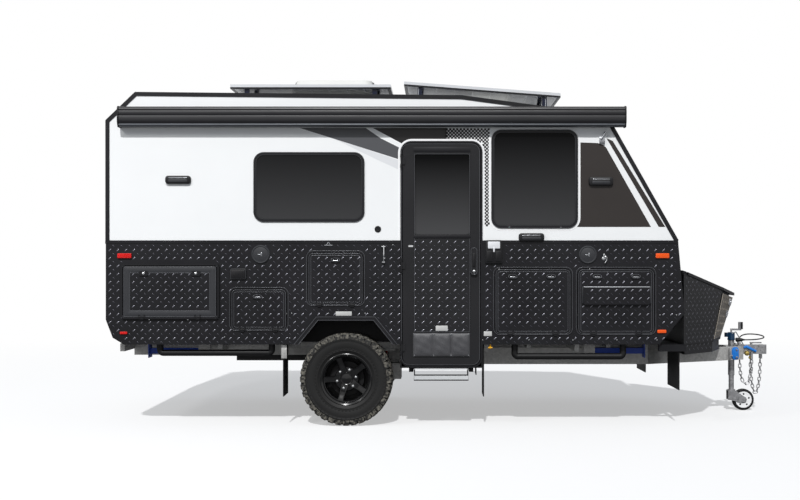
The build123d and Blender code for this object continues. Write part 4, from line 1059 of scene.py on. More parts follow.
rim_profile = [
    (0.2047, -0.108),
    (0.2047, 0.1085),
    (0.2252, 0.1088),
    (0.2252, 0.1132),
    (0.221, 0.1158),
    (0.213, 0.1148),
    (0.204, 0.1085),
    (0.198, 0.098),
    (0.191, 0.092),
    (0.186, 0.07),
    (0.182, 0.02),
    (0.186, -0.08),
    (0.19, -0.1132),
    (0.2252, -0.1132),
    (0.2252, -0.1085),
]


def on_side(profile, side, least=0.0):
    """A lathe profile for one side of the trailer, with no radius under least."""
    return [(max(radius, least), side * reach) for radius, reach in profile]


def round_axle(centre, angle, radius, reach):
    """A point at an angle on a wheel, out along its axle by reach."""
    turn = math.radians(angle)
    return Vector(centre) + Vector((math.cos(turn) * radius, reach, math.sin(turn) * radius))


def lug(centre, half_wide, half_long, root, top, lean):
    """A tread block with sloping walls, at the top of the wheel, before it goes round."""
    form = Form()
    loops = []
    for reach, grow in ((root, lug_foot), (top - lug_bevel, 1.0), (top, lug_crown)):
        loop = []
        for x, y in ((-1, -1), (1, -1), (1, 1), (-1, 1)):
            shift = lean * y
            loop.append((x * half_long * grow + shift, centre + y * half_wide * grow, reach))
        loops.append(loop)
    return template(form.capped(loops), "lug_shape")


def empty_mesh():
    return bpy.data.meshes.new("seed")


def go_round(name, shape, count, centre, material, body, slot):
    return circle.run(
        name, empty_mesh(), body, slot, Shape=shape, Finish=material, Count=count, Centre=tuple(centre)
    )


def tyre(side, centre, body):
    name = SIDE_NAMES[side]
    profile = carcass_half + [(radius, -reach) for radius, reach in reversed(carcass_half)]
    carcass = Form().lathe(profile, centre, (0, 1, 0), 120)
    obj = carcass.make("tyre_carcass_" + name, tyre_rubber, body, "tyre", angle=50)
    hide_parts("tyre_" + name)
    # Rows of lugs: middle across the tread, half width, half length, root, top, turn, lean
    rows = (
        (0.029, 0.024, 0.0235, 0.380, tread_radius - 0.0005, 0.0, 0.006),
        (-0.029, 0.024, 0.0235, 0.380, tread_radius - 0.0005, 0.5, -0.006),
        (0.088, 0.028, 0.0225, 0.374, tread_radius - 0.002, 0.5, 0.003),
        (-0.088, 0.028, 0.0225, 0.374, tread_radius - 0.002, 0.0, -0.003),
        (0.1245, 0.0095, 0.0265, 0.352, 0.388, 0.5, 0.0),
        (-0.1245, 0.0095, 0.0265, 0.352, 0.388, 0.0, 0.0),
    )
    for index, (across, wide, length, root, top, turn, lean) in enumerate(rows):
        shape = lug(across, wide, length, root, top, lean)
        shape.data.transform(Matrix.Rotation(math.radians(turn * 360 / lug_count), 4, "Y"))
        go_round(f"tyre_lugs_{name}_{index}", shape, lug_count, centre, speckled_lugs, body, "tyre")
    marks = Form()
    y_low, y_high = sorted((side * 0.122, side * 0.1325))
    for reach, wide in ((0.262, 0.006), (0.328, 0.004)):
        marks.block((-wide, y_low, reach), (wide, y_high, reach + 0.012))
    shape = template(marks, "marks_shape")
    go_round(f"tyre_marks_{name}", shape, mark_count, centre, tyre_rubber, body, "tyre")


def spoke(side, centre, angle):
    """Corner loops of one spoke from the hub to the barrel, with a sunk pad on its face."""
    direction = Vector((math.cos(math.radians(angle)), 0, math.sin(math.radians(angle))))
    across = Vector((-direction.z, 0, direction.x))
    # Stations: radius, half width, face, back, pad depth
    stations = (
        (0.05, 0.036, 0.062, 0.02, 0.0),
        (0.098, 0.031, 0.07, 0.024, 0.0),
        (0.112, 0.029, 0.073, 0.03, 0.006),
        (0.158, 0.027, 0.084, 0.042, 0.006),
        (0.17, 0.0275, 0.088, 0.046, 0.0),
        (0.192, 0.03, 0.093, 0.055, 0.0),
    )
    loops = []
    for radius, half, face, back, sink in stations:
        chamfer = [(-half, back), (-half, face - 0.008), (-half + 0.006, face)]
        chamfer += [(-half + 0.011, face), (-half + 0.013, face - sink)]
        loop = []
        for width, depth in chamfer + [(-width, depth) for width, depth in reversed(chamfer)]:
            spot = Vector(centre) + direction * radius + across * width + Vector((0, side * depth, 0))
            loop.append(tuple(spot))
        loops.append(loop)
    return loops


def rim(side, centre, body):
    name = SIDE_NAMES[side]
    form = Form()
    form.lathe(on_side(rim_profile, side), centre, (0, 1, 0), 96)
    for angle in spoke_angles:
        form.capped(spoke(side, centre, angle))
    form.lathe(on_side(hub_profile, side, 0.0005), centre, (0, 1, 0), 60)
    form.lathe(on_side(cap_profile, side, 0.0005), centre, (0, 1, 0), 48)
    obj = form.make("wheel_rim_" + name, rim_gloss, body, "rim", angle=28)
    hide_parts("rim_" + name)
    lip = Form().lathe(on_side(lip_profile, side), centre, (0, 1, 0), 96)
    lip.make("rim_lip_" + name, rim_gloss, body, "rim")
    form = Form().lathe(on_side(drum_profile, side), centre, (0, 1, 0), 64)
    form.lathe(on_side(backing_profile, side), centre, (0, 1, 0), 64)
    form.make("brake_drum_" + name, chassis_black, body, "rim")
    spots = [round_axle(centre, 60 * index + 12, nut_ring, side * nut_face) for index in range(nut_count)]
    scatter_alike("wheel_nuts_" + name, hex_nut, spots, out_of_wall[side], nut_size, chrome, body, "rim")


for side in (NEAR, FAR):
    centre = middle("tyre_" + SIDE_NAMES[side])
    tyre(side, centre, "wheel_" + SIDE_NAMES[side])
    rim(side, centre, "wheel_" + SIDE_NAMES[side])

# Coil springs and dampers on the trailing arms
strut_low, strut_high = low("suspension_struts"), high("suspension_struts")
strut_y = (strut_high.y - strut_low.y) / 2 - 0.055
seat_thick = 0.006
spring_x = axle.x + 0.155
damper_x = axle.x + 0.312
for side in (NEAR, FAR):
    name = SIDE_NAMES[side]
    foot = (spring_x, side * strut_y, strut_low.z + 0.012)
    rise = strut_high.z - strut_low.z - 0.024
    coil.run(
        "spring_coil_" + name,
        empty_mesh(),
        "trailer",
        "damper_red",
        Finish=spring_black,
        Turns=5.5,
        Radius=0.045,
        Height=rise,
        Wire=0.0085,
        Foot=foot,
    )
    form = Form()
    for z in (strut_low.z, strut_high.z - seat_thick):
        form.rod((spring_x, side * strut_y, z), (spring_x, side * strut_y, z + seat_thick), 0.056, 32)
    stop = Vector((spring_x, side * strut_y, strut_low.z))
    form.rod(stop, stop + Vector((0, 0, 0.07)), 0.022, 24)
    form.make("spring_seats_" + name, chassis_black, "trailer", "damper_red", 0.0015)
    damper = [(0.012, 0.0), (0.012, 0.02), (0.026, 0.022), (0.026, 0.12), (0.03, 0.122)]
    damper += [(0.03, 0.19), (0.014, 0.192), (0.014, rise + 0.024)]
    form = Form().lathe(damper, (damper_x, side * strut_y, strut_low.z), (0, 0, 1), 28, False)
    obj = form.make("damper_" + name, damper_red, "trailer", "damper_red")
    if side == NEAR:
        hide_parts("suspension_struts")

# Awning: case with ribs, lower rail and end caps
case_low, case_high = low("awning_case"), high("awning_case")
cap_length = 0.014
cap_margin = 0.004
case_front = case_low.y + cap_margin
case_top = case_high.z - cap_margin
case_bottom = case_low.z + cap_margin
case_back = -(half_width + 0.006)
case_depth = case_back - case_front
case_height = case_top - case_bottom
# Case outline as shares of its depth from the back and of its height
case_shares = (
    (0.0, 1.0),
    (0.72, 1.0),
    (0.88, 0.975),
    (0.965, 0.92),
    (0.985, 0.86),
    (0.985, 0.835),
    (0.955, 0.82),
    (0.955, 0.795),
    (1.0, 0.78),
    (1.0, 0.585),
    (0.97, 0.57),
    (0.97, 0.54),
    (1.0, 0.525),
    (0.995, 0.3),
    (0.96, 0.22),
    (0.9, 0.18),
    (0.9, 0.12),
    (0.0, 0.1),
)


def case_outline(grow=0.0):
    points = []
    for depth_share, height_share in case_shares:
        y = case_back - depth_share * (case_depth + grow)
        z = case_bottom + height_share * case_height + (height_share - 0.5) * 2 * grow
        points.append((y, z))
    return points


body_start, body_end = case_low.x + cap_length, case_high.x - cap_length
form = Form().prism_across(case_outline(), body_start, body_end)
obj = form.make("awning_body", awning_black, "trailer", "awning_skin", 0.0008, 1)
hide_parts("awning_case")
rail_y, rail_z = case_front + 0.028, case_bottom + 0.018
rail = []
for degrees in range(-180, 180, 15):
    turn = math.radians(degrees)
    rail.append((rail_y - math.cos(turn) * 0.026, rail_z + math.sin(turn) * 0.016))
form = Form().prism_across(rail, body_start, body_end)
form.block((body_start, rail_y, case_bottom + 0.004), (body_end, case_back, case_bottom + 0.02))
form.make("awning_rail", awning_grey, "trailer", "awning_skin")
cap_outline = case_outline(cap_margin)[:-2]
cap_outline += [(case_front + 0.02, case_bottom - 0.002), (case_back, case_bottom - 0.002)]
for x_low, x_high, name in ((case_low.x, body_start, "rear"), (body_end, case_high.x, "front")):
    form = Form().prism_across(cap_outline, x_low, x_high)
    form.make("awning_cap_" + name, plastic_black, "trailer", "awning_skin", 0.004, 3)

# Chains of round links
link_rod = 0.0088
link_half = 0.026
link_side = 0.0125
link_steps, wire_steps = 28, 8
run = link_half - link_side - link_rod / 2
form = Form()
loops = []
for step in range(link_steps):
    turn = 2 * math.pi * step / link_steps
    centre = Vector((math.copysign(run, math.cos(turn)) if abs(math.cos(turn)) > 1e-6 else 0.0, 0, 0))
    spoke_way = Vector((math.cos(turn), math.sin(turn), 0))
    loop = []
    for around in range(wire_steps):
        roll = 2 * math.pi * around / wire_steps
        radius = link_side + math.cos(roll) * link_rod / 2
        loop.append(tuple(centre + spoke_way * radius + Vector((0, 0, math.sin(roll) * link_rod / 2))))
    loops.append(loop)
form.bands(loops, True)
link_shape = template(form, "link_shape")
chain_y, chain_z, chain_steps = 0.066, 0.464, 60
# Chains: side, rear and front end as nose shares, sag
chain_table = ((NEAR, 0.735, 0.845, 0.205), (FAR, 0.870, 0.960, 0.300))
for side, rear_share, front_share, sag in chain_table:
    start, end = nose(rear_share), nose(front_share)
    points = []
    for step in range(chain_steps + 1):
        turn = math.pi * step / chain_steps
        x = (start + end) / 2 - (end - start) / 2 * math.cos(turn)
        points.append((x, side * chain_y, chain_z - sag * math.sin(turn)))
    mesh = bpy.data.meshes.new("chain_line")
    mesh.from_pydata(points, [(index, index + 1) for index in range(chain_steps)], [])
    name = "chain_" + SIDE_NAMES[side]
    obj = chain.run(name, mesh, "trailer", "zinc_steel", Shape=link_shape, Finish=zinc, Pitch=0.034)
    if side == NEAR:
        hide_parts("safety_chains")

# Lead for the towing vehicle and its plug
lead_points = (
    (0.750, 66, 634),
    (0.752, 66, 668),
    (0.772, 67, 700),
    (0.812, 70, 720),
    (0.870, 75, 724),
    (0.928, 67, 720),
    (0.968, 30, 712),
    (0.977, -14, 702),
    (0.957, -56, 692),
    (0.908, -80, 684),
    (0.858, -80, 679),
    (0.812, -75, 677),
    (0.770, -70, 677),
)
lead_route = [(nose(share), y / 1000, z / 1000) for share, y, z in lead_points]
lead = bent_line("tow_lead_cable", lead_route, 0.006, 12)
lead.data.materials.append(cable_black)
carry(lead, "trailer")
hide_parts("tow_lead")
plug_start = Vector(lead_route[-1])
heading = (plug_start - Vector(lead_route[-2])).normalized()
plug_profile = [
    (0.007, -0.012),
    (0.009, 0.0),
    (0.013, 0.012),
    (0.016, 0.016),
    (0.016, 0.028),
    (0.02, 0.03),
    (0.0205, 0.036),
    (0.0195, 0.04),
    (0.0205, 0.044),
    (0.0205, 0.07),
    (0.018, 0.074),
]
plug = Form().lathe(plug_profile, plug_start, heading, 28, False)
plug_obj = plug.make("lead_plug_shell", plastic_black, "trailer", "cable")
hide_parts("lead_plug")

# Helpers for what stands proud of the side walls
cladding_level = 1.129
leaf_level = 1.139
flange_level = 1.135
table_level = 1.153
leaf_radius = 0.04


def sheet_y(side, level, rise):
    return sorted((side * level, side * (level + rise)))


def bead(form, side, box_low, box_high, inset, radius, width, level, rise):
    """A raised strip round a rectangle, its outer edge inset from the box."""
    outlines = []
    for edge in (inset, inset + width):
        turn = max(radius - edge, 0.004)
        outlines.append(
            rounded(box_low.x + edge, box_high.x - edge, box_low.z + edge, box_high.z - edge, turn, 8)
        )
    form.ring(outlines[0], outlines[1], *sheet_y(side, level, rise))


def raised_pad(form, side, centre, size, radius, level, rise, taper=0.003):
    """A block with round corners whose face edge is eased by taper."""
    half_x, half_z = size[0] / 2, size[1] / 2
    loops = []
    for inset, reach in ((0, 0), (0, rise - taper), (taper * 0.3, rise - taper * 0.3), (taper, rise)):
        outline = rounded(
            centre[0] - half_x + inset,
            centre[0] + half_x - inset,
            centre[1] - half_z + inset,
            centre[1] + half_z - inset,
            max(radius - inset, 0.001),
            5,
        )
        loops.append([(x, side * (level + reach), z) for x, z in outline])
    return form.capped(loops)


def turned(form, side, centre, profile, level, steps=40):
    """A turned part whose axis points out of the wall."""
    spot = (centre[0], side * level, centre[1])
    return form.lathe(on_side(profile, side, 0.0004), spot, (0, 1, 0), steps)


def spot_of(shares):
    return along(shares[0]), up(shares[1])


# Hatches: beads on leaves and flanges in a lighter grey as painted highlights, paddle latches with locks
latch_drop = 0.062
latch_rise = 0.01
table_lock = [(0, 0), (0.011, 0), (0.011, 0.003), (0.007, 0.005), (0, 0.005)]
hatch_lock = [(0, 0), (0.005, 0), (0.005, 0.003), (0, 0.0035)]
hatch_table = {
    "table_hatch": (NEAR, (0.22, 0.78)),
    "hatch_low": (NEAR, (0.48,)),
    "hatch_mid": (NEAR, (0.5,)),
    "hatch_fore": (NEAR, (0.23, 0.74)),
    "hatch_front": (NEAR, (0.25, 0.76)),
    "hatch_far_rear": (FAR, (0.25, 0.75)),
    "hatch_far_front": (FAR, (0.25, 0.75)),
}
flange_margin = Vector((0.020, 0, 0.020))
for node, (side, latch_shares) in hatch_table.items():
    leaf_low, leaf_high = low(node), high(node)
    form = Form()
    if node == "table_hatch":
        bead(form, side, leaf_low, leaf_high, 0.003, 0.02, 0.058, table_level, 0.003)
        form.make(node + "_border", plastic_dark, node, "tread_plate", 0.001, 2)
        form = Form()
        bead(form, side, leaf_low, leaf_high, 0.006, 0.02, 0.003, table_level + 0.003, 0.0015)
        bead(form, side, leaf_low, leaf_high, 0.0575, 0.06, 0.003, table_level + 0.003, 0.0015)
    else:
        bead(form, side, leaf_low, leaf_high, 0.003, leaf_radius, 0.004, leaf_level, 0.0025)
        bead(form, side, leaf_low, leaf_high, 0.021, leaf_radius, 0.0035, leaf_level, 0.003)
    form.make(node + "_beads", bead_black, node, "tread_plate", 0.0008, 2)
    form = Form()
    frame_level = 1.149 if node == "table_hatch" else flange_level
    outer_low, outer_high = leaf_low - flange_margin, leaf_high + flange_margin
    outer_low.z = leaf_low.z - 0.010
    bead(form, side, outer_low, outer_high, 0.002, 0.058, 0.0035, frame_level, 0.002)
    form.make(node + "_flange_bead", bead_black, "trailer", "black_trim", 0.0007, 2)
    face = (table_level if node == "table_hatch" else leaf_level) + latch_rise
    levers, locks = Form(), Form()
    for share in latch_shares:
        x = leaf_low.x + share * (leaf_high.x - leaf_low.x)
        z = leaf_high.z - latch_drop
        if node == "table_hatch":
            turned(locks, side, (x, z), table_lock, face)
            continue
        oval = Form(Matrix.Translation((x, side * face, z)) @ Matrix.Diagonal((1, 1, 0.5, 1)))
        profile = [(0.034, 0), (0.0395, 0.0), (0.0395, 0.003), (0.036, 0.0045), (0.033, 0.003)]
        oval.lathe(on_side(profile, side), (0, 0, 0), (0, 1, 0), 40)
        oval.make(f"{node}_latch_oval_{int(share * 100)}", bead_black, node, "tread_plate")
        raised_pad(levers, side, (x, z - 0.0065), (0.050, 0.010), 0.005, face, 0.005, 0.002)
        turned(locks, side, (x, z + 0.008), hatch_lock, face, 20)
    if node != "table_hatch":
        levers.make(node + "_latch_levers", latch_steel, node, "tread_plate")
    else:
        levers.bm.free()
    locks.make(node + "_locks", chrome if node == "table_hatch" else plastic_dark, node, "tread_plate")

# Fold-down shelf on the front hatch: rolled edge and brackets
shelf_low = Vector((along(0.825), 0, up(0.159)))
shelf_high = Vector((along(0.939), 0, up(0.228)))
shelf_level = leaf_level + 0.026
form = Form()
form.rod((shelf_low.x, -shelf_level, shelf_high.z), (shelf_high.x, -shelf_level, shelf_high.z), 0.006, 16)
form.make("shelf_edge", latch_steel, "hatch_front", "tread_plate")
form = Form()
for x in (shelf_low.x - 0.012, shelf_high.x + 0.002):
    form.block((x, -shelf_level + 0.004, shelf_low.z + 0.01), (x + 0.010, -leaf_level, shelf_high.z + 0.004))
form.make("shelf_brackets", plastic_dark, "hatch_front", "tread_plate", 0.002)

# Windows: rubber beads in a lighter grey as painted highlights round the frames, and the white line round the
# front one
window_table = (
    ("rear", NEAR, 0.255, 0.447, 0.486, 0.763),
    ("front", NEAR, 0.666, 0.816, 0.461, 0.852),
    ("far", FAR, 0.545, 0.640, 0.520, 0.700),
)
window_turn = 0.088
line_rise = 0.0014
for name, side, x_low, x_high, z_low, z_high in window_table:
    box_low, box_high = Vector((along(x_low), 0, up(z_low))), Vector((along(x_high), 0, up(z_high)))
    form = Form()
    bead(form, side, box_low, box_high, 0.003, window_turn, 0.003, flange_level, 0.002)
    bead(form, side, box_low, box_high, 0.022, window_turn, 0.003, flange_level, 0.002)
    form.make(f"window_{name}_beads", plastic_dark, "trailer", "black_trim")
    if name == "front":
        form = Form()
        bead(form, side, box_low, box_high, -0.021, window_turn, 0.022, half_width, line_rise)
        form.make("window_front_line", *white_film)
        catch_y, catch_z, catch_size = side * flange_level, box_low.z + 0.008, (0.01, 0.01, 0.01)
        spots = [Vector((along(share), catch_y, catch_z)) for share in (0.697, 0.786)]
        name, turn = "window_front_catches", out_of_wall[side]
        scatter_alike(name, dome_head, spots, turn, catch_size, chrome, "trailer", "black_trim")


# Door: white line, mouldings, catch and handle
def arch_strip(x_low, x_high, z_low, z_high, radius, width):
    """The outline of a strip of one width that runs up, over and down round an opening."""
    centre_z = z_high - radius
    outer = arc(x_high - radius, centre_z, radius + width, 0, 90, 8)
    outer += arc(x_low + radius, centre_z, radius + width, 90, 180, 8)
    inner = arc(x_low + radius, centre_z, radius, 180, 90, 8)
    inner += arc(x_high - radius, centre_z, radius, 90, 0, 8)
    return [(x_high + width, z_low), *outer, (x_low - width, z_low), (x_low, z_low), *inner, (x_high, z_low)]


door_low, door_high = low("door_frame"), high("door_frame")
door_turn = 0.085
form = Form()
outline = arch_strip(door_low.x, door_high.x, up(belt_top_share), door_high.z, door_turn + 0.014, 0.018)
form.prism(outline, *sheet_y(NEAR, half_width, line_rise))
form.make("door_white_line", *white_film)
pane_low, pane_high = low("door_pane"), high("door_pane")
panel_bottom = high("door_pouch").z + 0.004
opening_low = Vector((pane_low.x - 0.006, 0, panel_bottom))
opening_high = Vector((pane_high.x + 0.006, 0, pane_high.z + 0.006))
form = Form()
bead(form, NEAR, opening_low, opening_high, 0.0, 0.012, 0.005, leaf_level, 0.003)
bar_low, bar_high = up(0.4215), up(0.4355)
form.block((opening_low.x, -leaf_level - 0.004, bar_low), (opening_high.x, -leaf_level, bar_high))
mitre_z = pane_high.z - 0.009
mitre = 0.0018
leaf_low_x, leaf_high_x = low("door_leaf").x, high("door_leaf").x
for x_low, x_high in ((leaf_low_x + 0.004, opening_low.x), (opening_high.x, leaf_high_x - 0.006)):
    form.block((x_low, -leaf_level - 0.0006, mitre_z), (x_high, -leaf_level, mitre_z + mitre))
form.block(
    (opening_low.x, -leaf_level - 0.003, opening_high.z + 0.008),
    (opening_high.x, -leaf_level, opening_high.z + 0.052),
)
form.make("door_mouldings", trim_black, "door", "black_trim", 0.0008, 2)
# The door's bright edges are lighter grey: painted highlights round its outline and its window opening.
form = Form()
door_outline_low = Vector((leaf_low_x, 0, low("door_leaf").z))
door_outline_high = Vector((leaf_high_x, 0, high("door_leaf").z))
bead(form, NEAR, door_outline_low, door_outline_high, 0.004, door_turn - 0.012, 0.003, leaf_level, 0.002)
bead(form, NEAR, opening_low, opening_high, 0.006, 0.012, 0.0025, leaf_level, 0.0024)
form.make("door_bright_edges", bead_black, "door", "black_trim")
handle_x = (along(0.630) + along(0.642)) / 2
handle_low, handle_high = up(0.276), up(0.385)
handle_z = (handle_low + handle_high) / 2
handle_level = leaf_level + 0.024
# The rim round the handle is lighter grey: a painted highlight.
form = Form()
box_low = Vector((along(0.630), 0, handle_low))
box_high = Vector((along(0.642), 0, handle_high))
bead(form, NEAR, box_low, box_high, 0.002, 0.028, 0.004, handle_level, 0.003)
form.make("door_handle_rim", bead_black, "door", "black_trim", 0.0008)
form = Form()
raised_pad(form, NEAR, (handle_x, handle_z + 0.01), (0.026, 0.12), 0.012, handle_level, 0.006)
form.make("door_handle_grip", plastic_black, "door", "black_trim")
form = Form()
lock_profile = [(0, 0), (0.011, 0), (0.011, 0.004), (0.008, 0.0055), (0, 0.0055)]
turned(form, NEAR, (handle_x, handle_low + 0.032), lock_profile, handle_level, 28)
form.block(
    (along(0.5231), -leaf_level - 0.008, up(0.3865)), (along(0.5309), -leaf_level, up(0.3935))
)
form.make("door_lock_and_catch", chrome, "door", "black_trim")

# Blank labels and screws on the cladding
label_table = (
    ("arch_label", 0.3972, 0.4249, 0.1142, 0.1309, cladding_level, "trailer"),
    ("sill_label", 0.6531, 0.6670, 0.0336, 0.0519, cladding_level, "trailer"),
    ("door_label", 0.5700, 0.5907, 0.0545, 0.0749, leaf_level, "door"),
)
for name, x_low, x_high, z_low, z_high, level, body in label_table:
    centre = (along((x_low + x_high) / 2), up((z_low + z_high) / 2))
    size = (along(x_high) - along(x_low), up(z_high) - up(z_low))
    form = raised_pad(Form(), NEAR, centre, size, 0.004, level, 0.003, 0.001)
    form.make(name, label_silver, body, "zinc_steel")
screw_shares = (
    (0.0752, 0.0983),
    (0.1419, 0.0983),
    (0.2040, 0.0983),
    (0.2055, 0.0296),
    (0.3177, 0.0254),
    (0.3211, 0.1240),
    (0.3848, 0.1240),
    (0.4481, 0.1240),
    (0.6514, 0.0178),
    (0.7310, 0.0178),
    (0.8071, 0.0178),
    (0.8831, 0.0178),
    (0.9523, 0.0178),
    (0.9575, 0.1170),
    (0.9860, 0.1170),
    (0.4960, 0.3950),
)
screw_size = (0.013, 0.013, 0.011)
for side in (NEAR, FAR):
    name, turn = "cladding_screws_" + SIDE_NAMES[side], out_of_wall[side]
    spots = [Vector((along(run), side * cladding_level, up(rise))) for run, rise in screw_shares]
    scatter_alike(name, dome_head, spots, turn, screw_size, chrome, "trailer", "tread_plate")
seam_x, seam_half = along(0.8102), 0.004
form = Form()
for side in (NEAR, FAR):
    y_low, y_high = sheet_y(side, cladding_level, 0.0015)
    form.block((seam_x - seam_half, y_low, up(0.02)), (seam_x + seam_half, y_high, up(belt_share)))
form.make("cladding_seams", trim_black, "trailer", "black_trim")
drain_x, drain_y, drain_top = along(0.6646), -1.109, body_low.z + 0.01
drain_handle = drain_top - 0.04
form = Form().rod((drain_x, drain_y, drain_top), (drain_x, drain_y, drain_top - 0.045), 0.007, 16)
form.rod((drain_x - 0.018, drain_y, drain_handle), (drain_x + 0.018, drain_y, drain_handle), 0.006, 16)
form.make("drain_tap", tap_yellow, "trailer", "lamp")

# Fittings on the walls
annex_rise = 0.026
annex_face = half_width + annex_rise
annex_table = (
    ("annex_lamp_rear", (0.125, 0.653), (0.220, 0.070)),
    ("annex_lamp_fore", (0.8555, 0.647), (0.210, 0.078)),
    ("annex_lamp_belt", (0.7354, 0.4255), (0.221, 0.070)),
)
for name, shares, (length, height) in annex_table:
    x, z = spot_of(shares)
    form = raised_pad(Form(), NEAR, (x, z), (length, height), height * 0.36, half_width, annex_rise, 0.010)
    housing = form.make(name + "_housing", *moulded)
    lens_size = (length * 0.74, height * 0.34)
    form = raised_pad(Form(), NEAR, (x, z - height * 0.12), lens_size, 0.01, annex_face, 0.0025, 0.001)
    form.make(name + "_lens", plastic_dark, "trailer", "lamp")
    lip_spot, lip_size = (x, z + height * 0.22), (length * 0.70, 0.006)
    form = raised_pad(Form(), NEAR, lip_spot, lip_size, 0.003, annex_face - 0.0003, 0.002, 0.001)
    form.make(name + "_lip", latch_steel, "trailer", "lamp")
    if name == "annex_lamp_rear":
        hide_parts("wall_fittings")
speaker_table = (("speaker_rear", (0.2675, 0.3575), 0.080), ("speaker_fore", (0.833, 0.356), 0.078))
for name, shares, radius in speaker_table:
    form = Form()
    profile = [(0, 0), (radius, 0), (radius, 0.006), (radius - 0.007, 0.012), (radius - 0.012, 0.0115)]
    profile += [(radius - 0.016, 0.008), (radius * 0.5, 0.0125), (0, 0.0145)]
    turned(form, NEAR, spot_of(shares), profile, cladding_level, 56)
    form.make(name + "_dome", plastic_dark, "trailer", "black_plastic")
    form = Form()
    x, z = spot_of(shares)
    face = cladding_level + 0.0135
    raised_pad(form, NEAR, (x + 0.008, z), (0.012, 0.034), 0.004, face, 0.004, 0.0015)
    raised_pad(form, NEAR, (x - 0.010, z - 0.002), (0.026, 0.008), 0.003, face, 0.0035, 0.0015)
    form.make(name + "_lever", *steel_fitting)
socket_spot = spot_of((0.229, 0.280))
form = raised_pad(Form(), NEAR, socket_spot, (0.137, 0.092), 0.014, cladding_level, 0.016)
flap_spot = (socket_spot[0], socket_spot[1] - 0.004)
raised_pad(form, NEAR, flap_spot, (0.118, 0.070), 0.008, cladding_level + 0.016, 0.006)
form.make("socket_box", *moulded)
half_box = Vector((0.0685, 0, 0.046))
box_middle = Vector((socket_spot[0], 0, socket_spot[1]))
box_low, box_high = box_middle - half_box, box_middle + half_box
# The socket box's edge bead is lighter grey: a painted highlight.
form = Form()
bead(form, NEAR, box_low, box_high, 0.0025, 0.014, 0.002, cladding_level + 0.0158, 0.001)
form.make("socket_box_edge", bead_black, "trailer", "black_plastic")
outlet_spot = spot_of((0.6705, 0.3675))
outlet_size = (0.145, 0.200)
outlet_level = cladding_level + 0.020
outlet_x, outlet_z = outlet_spot
form = raised_pad(Form(), NEAR, outlet_spot, outlet_size, 0.012, cladding_level, 0.020)
for offset in (-0.038, 0.038):
    raised_pad(form, NEAR, (outlet_x + offset, outlet_z - 0.038), (0.050, 0.092), 0.006, outlet_level, 0.006)
form.make("outlet_box", *moulded)
form = Form()
raised_pad(form, NEAR, (outlet_x, outlet_z + 0.058), (0.104, 0.060), 0.006, outlet_level, 0.006)
raised_pad(form, NEAR, (outlet_x, outlet_z + 0.02), (0.014, 0.046), 0.006, outlet_level, 0.008)
form.make("outlet_cover", plastic_white, "trailer", "white_panel")
tap_spot = spot_of((0.8605, 0.3415))
tap_y = -cladding_level - 0.02
rose = [(0, 0), (0.016, 0), (0.016, 0.004), (0.010, 0.007), (0, 0.007)]
stem = [(0, 0), (0.008, 0), (0.008, 0.02), (0, 0.022)]
form = turned(Form(), NEAR, tap_spot, rose, cladding_level, 28)
turned(form, NEAR, (tap_spot[0], tap_spot[1] + 0.032), stem, cladding_level, 20)
form.make("tap_rose", *chrome_fitting)
tap_x, tap_z = tap_spot
tap_route = [
    (tap_x, -cladding_level, tap_z + 0.004),
    (tap_x, tap_y - 0.006, tap_z + 0.006),
    (tap_x + 0.004, tap_y - 0.006, tap_z + 0.022),
    (tap_x + 0.024, tap_y - 0.004, tap_z + 0.014),
    (tap_x + 0.024, tap_y - 0.002, tap_z - 0.022),
    (tap_x + 0.006, tap_y, tap_z - 0.040),
]
pipe("tap_spout", tap_route, 0.0045, *chrome_fitting)
hold_x, hold_z = spot_of((0.4805, 0.3565))
hold_y = -cladding_level - 0.026
hold_face = -cladding_level - 0.030
form = Form()
form.rod((hold_x, hold_y, hold_z - 0.074), (hold_x, hold_y, hold_z + 0.074), 0.0045, 16)
for drop, rear, fore, height in (
    (-0.070, 0.014, 0.0098, 0.009),
    (0.064, 0.020, 0.014, 0.009),
    (-0.036, 0.004, 0.012, 0.008),
):
    z = hold_z + drop
    form.block((hold_x - rear, hold_face, z), (hold_x + fore, -cladding_level, z + height))
form.make("door_hold_back", *chrome_fitting, 0.001)
catch_x, catch_z = spot_of((0.3848, 0.3965))
catch_low = (catch_x - 0.034, -cladding_level - 0.008, catch_z - 0.010)
catch_y = -cladding_level - 0.006
form = Form().block(catch_low, (catch_x + 0.034, -cladding_level, catch_z - 0.002))
for offset in (-0.018, 0.018):
    form.rod((catch_x + offset, catch_y, catch_z - 0.006), (catch_x, catch_y, catch_z + 0.020), 0.004, 12)
form.make("hatch_hold_up", *steel_fitting)
grommet_spot = spot_of((0.470, 0.4575))
grommet_profile = [(0.013, 0), (0.028, 0), (0.028, 0.004), (0.022, 0.008), (0.015, 0.008), (0.013, 0.005)]
grommet_core = [(0, 0), (0.0125, 0), (0.0125, 0.003), (0, 0.003)]
form = turned(Form(), NEAR, grommet_spot, grommet_profile, half_width)
turned(form, NEAR, grommet_spot, grommet_core, half_width)
form.make("cable_grommet", *moulded)
bracket_x, bracket_z = spot_of((0.8575, 0.8115))
bracket_low = (bracket_x - 0.024, -half_width - 0.018, bracket_z - 0.034)
bracket_y = -half_width - 0.022
form = Form().block(bracket_low, (bracket_x + 0.024, -half_width, bracket_z + 0.022))
form.rod((bracket_x - 0.01, bracket_y, bracket_z), (bracket_x + 0.03, bracket_y, bracket_z + 0.07), 0.009, 20)
form.make("awning_wall_bracket", *steel_fitting, 0.002)
half_vent = Vector((0.190, 0, 0.125))
slats = 8
step = (2 * half_vent.z - 0.05) / slats
